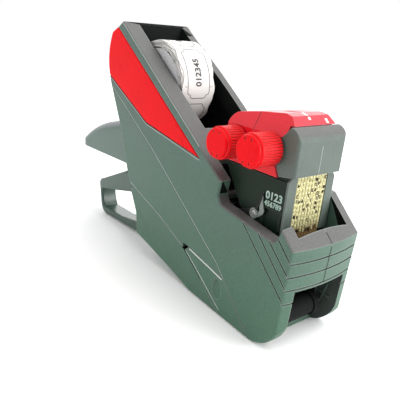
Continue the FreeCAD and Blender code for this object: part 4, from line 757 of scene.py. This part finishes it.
def outlineMesh(middle):
    loop = labelOutline()
    fine = []
    for (u, v), (nextU, nextV) in zip(loop, loop[1:] + loop[:1]):
        parts = max(1, int(math.hypot(nextU - u, nextV - v) / label["grain"]))
        for part in range(parts):
            fine.append((u + (nextU - u) * part / parts, v + (nextV - v) * part / parts))
    size = len(fine)
    left, right, lift = [], [], []
    for step in range(size + 1):
        u, v = fine[step % size]
        before, after = fine[(step - 1) % size], fine[(step + 1) % size]
        turn = math.atan2(after[1] - before[1], after[0] - before[0])
        offset = (-math.sin(turn) * label["line"] / 2, math.cos(turn) * label["line"] / 2)
        for store, sign in ((left, 1), (right, -1)):
            store.append(printPoint(middle, u + sign * offset[0], v + sign * offset[1], label["clear"]))
        lift.append(printLift(middle, u, v))
    return ribbonMesh(left, right, lift)


def digitsMesh(middle):
    verts, faces = glyphMesh(label["words"], label["wordHeight"], label["wordDepth"])
    return [printPoint(middle, vert.x, -vert.y, label["wordRaise"] + vert.z) for vert in verts], faces


def cutMesh(middle, end, side):
    start = end * label["length"] * cuts["along"]
    row = [(start, side * (label["half"] + cuts["from"])),
           (start + cuts["out"] * end, side * (label["half"] + cuts["bend"])),
           (start - cuts["back"] * end, side * (roll["half"] - cuts["edge"]))]
    left = [printPoint(middle, u - cuts["half"], v, label["clear"]) for u, v in row]
    right = [printPoint(middle, u + cuts["half"], v, label["clear"]) for u, v in row]
    return ribbonMesh(left, right, [printLift(middle, u, v) for u, v in row])


def makeLabels():
    outer = 2 * math.pi * roll["turns"]
    meshes = []
    for count in range(label["count"]):
        middle = outer - (label["start"] + count * (label["length"] + label["gap"])) / roll["radius"]
        meshes += [outlineMesh(middle), digitsMesh(middle)]
        meshes += [cutMesh(middle, end, side) for end in (-1, 1) for side in (-1, 1)]
    joinedMesh("label_outlines", meshes, "print", "roll")


makeWinding()
makeLabels()
nodes["label_roll_body"].data.materials[0] = paints["rollSide"]
print("label roll made")

# Type standing up on the rubber bands, a sequence of digits on each, some of them inked. Ink gathers in
# the gap beside each band, in broken lines
typeRows = {"seed": 7, "front": -107.0, "low": 60.8, "high": 90.6, "pitch": 2.75, "height": 1.9,
            "depth": 0.3, "sunk": 0.02, "bandPitch": 2.3, "count": 10, "shift": 0.5, "inked": 0.35}
inkLines = {"long": (1.0, 5.0), "apart": (0.3, 2.0), "stray": 0.25, "half": 0.16, "proud": 0.06,
            "depth": 0.2, "last": 1.0}


def makeType():
    random.seed(typeRows["seed"])
    digits = [glyphMesh(str(digit), typeRows["height"], typeRows["depth"]) for digit in range(10)]
    pale, inked, gaps = [], [], []
    rows = int((typeRows["high"] - typeRows["low"]) / typeRows["pitch"]) + 1
    for band in range(typeRows["count"]):
        x = (band - (typeRows["count"] - 1) / 2) * typeRows["bandPitch"]
        start = random.randrange(10)
        shift = random.uniform(-typeRows["shift"], typeRows["shift"])
        for row in range(rows):
            z = typeRows["low"] + row * typeRows["pitch"] + shift
            centre = point(x, typeRows["front"] - typeRows["depth"] / 2 + typeRows["sunk"], z)
            glyph = digits[(start + row) % 10]
            scaled = ([vert * mm for vert in glyph[0]], glyph[1])
            store = inked if random.random() < typeRows["inked"] else pale
            store.append(placedGlyph(scaled, centre, Vector((-1, 0, 0)), Vector((0, 0, 1))))
        z = typeRows["low"]
        while z < typeRows["high"] - inkLines["last"]:
            length = random.uniform(*inkLines["long"])
            middle = x + typeRows["bandPitch"] / 2 + random.uniform(-inkLines["stray"], inkLines["stray"])
            if band < typeRows["count"] - 1:
                low = (middle - inkLines["half"], typeRows["front"] - inkLines["proud"], z)
                high = (middle + inkLines["half"], typeRows["front"] + inkLines["depth"],
                        min(z + length, typeRows["high"]))
                gaps.append(boxMesh(low, high))
            z += length + random.uniform(*inkLines["apart"])
    joinedMesh("raised_type", pale, "typeRaised", "print_head")
    joinedMesh("inked_type", inked, "typeInk", "print_head")
    joinedMesh("ink_in_gaps", gaps, "typeInk", "print_head")


makeType()
print("type made")

# Pale selector marks laid on the cover's crown, and painted shade for the shallow recess behind them
coverMarks = {"recess": ((-2.4, -84.5), (-2.4, -93.5)), "recessWidth": 5.0, "paleWidth": 1.7,
              "pale": (((-2.4, -95.6), (-2.4, -101.2)), ((10.0, -101.0), (10.0, -103.0)))}


def makeCoverMarks():
    tree = surfaceOf("top_cover")
    above = fineLine["above"]
    pale = [surfaceLine([(x, y, above) for x, y in path], (0, 0, -1), coverMarks["paleWidth"], [tree])
            for path in coverMarks["pale"]]
    joinedMesh("cover_marks", pale, "white", "print_head")
    path = [(x, y, above) for x, y in coverMarks["recess"]]
    recess = [surfaceLine(path, (0, 0, -1), coverMarks["recessWidth"], [tree])]
    joinedMesh("cover_recess_shade", recess, "groove", "print_head")


makeCoverMarks()
print("cover marks made")

# Plain digits on the head's side: words, z, height and y of each row
headPrint = {"x": -18.0, "depth": 0.12, "sunk": 0.02,
             "rows": (("0123", 78.6, 4.1, -98.9), ("456789", 74.2, 2.8, -98.7))}


def makeHeadPrint():
    meshes = []
    for words, z, height, y in headPrint["rows"]:
        verts, faces = glyphMesh(words, height, headPrint["depth"])
        centre = point(headPrint["x"] - headPrint["depth"] / 2 + headPrint["sunk"], y, z)
        scaled = ([vert * mm for vert in verts], faces)
        meshes.append(placedGlyph(scaled, centre, Vector((0, -1, 0)), Vector((0, 0, 1))))
    joinedMesh("head_digits", meshes, "paleMark", "print_head")


# The ink holder's spring clip: a ring round its stud, and a flat horn rising from the ring
clip = {"y": -87.4, "z": 66.3, "x": -18.75, "radius": 2.3, "wire": 0.8, "steps": 32, "thick": 0.5,
        "horn": ((-88.9, 64.4), (-91.4, 65.6), (-93.6, 67.6), (-94.4, 69.6), (-93.4, 72.0), (-92.6, 74.3),
                 (-92.4, 76.9), (-92.1, 79.2), (-91.3, 76.5), (-90.8, 73.7), (-90.9, 71.0), (-91.2, 69.0),
                 (-90.4, 67.6), (-89.2, 66.6))}


def makeClip():
    ring = []
    for step in range(clip["steps"] + 1):
        angle = 2 * math.pi * step / clip["steps"]
        ring.append(point(clip["x"], clip["y"] + clip["radius"] * math.cos(angle),
                          clip["z"] + clip["radius"] * math.sin(angle)))
    horn = plateMesh(clip["horn"], clip["x"], clip["thick"])
    joinedMesh("spring_clip", [wireMesh(ring, clip["wire"] * mm), horn], "clip", "ink_carrier")


makeHeadPrint()
makeClip()
print("head details made")

# The seam down the front of the case and of the head's housing, as thin plates in the seam's plane
housingSeam = {"outline": ((-109.95, 92.5), (-109.95, 106.5), (-109.7, 106.5), (-109.7, 92.5)),
               "width": 0.3}
joinedMesh("front_seam", [plateMesh(caseLines["seam"], 0.0, caseLines["seamWidth"])], "seamShade", "case")
# The housing's seam is a painted highlight line
joinedMesh("housing_seam", [plateMesh(housingSeam["outline"], 0.0, housingSeam["width"])], "highlightLine",
           "print_head")
print("seams made")

# Stiffening ribs inside the nose
noseRibs = {"x": 19.7, "thick": 0.9, "width": 0.8,
            "lines": (((-115, 27), (-109.5, 8)), ((-109.5, 8), (-106, 29)), ((-106, 29), (-102.5, 9)),
                      ((-117, 19), (-102, 22)))}


def makeNoseRibs():
    meshes = []
    for (startY, startZ), (endY, endZ) in noseRibs["lines"]:
        along = Vector((endY - startY, endZ - startZ)).normalized()
        across = Vector((-along.y, along.x)) * noseRibs["width"] / 2
        outline = [(startY + across.x, startZ + across.y), (endY + across.x, endZ + across.y),
                   (endY - across.x, endZ - across.y), (startY - across.x, startZ - across.y)]
        meshes.append(plateMesh(outline, noseRibs["x"], noseRibs["thick"]))
    joinedMesh("nose_ribs", meshes, "lever", "case")


makeNoseRibs()
print("nose ribs made")
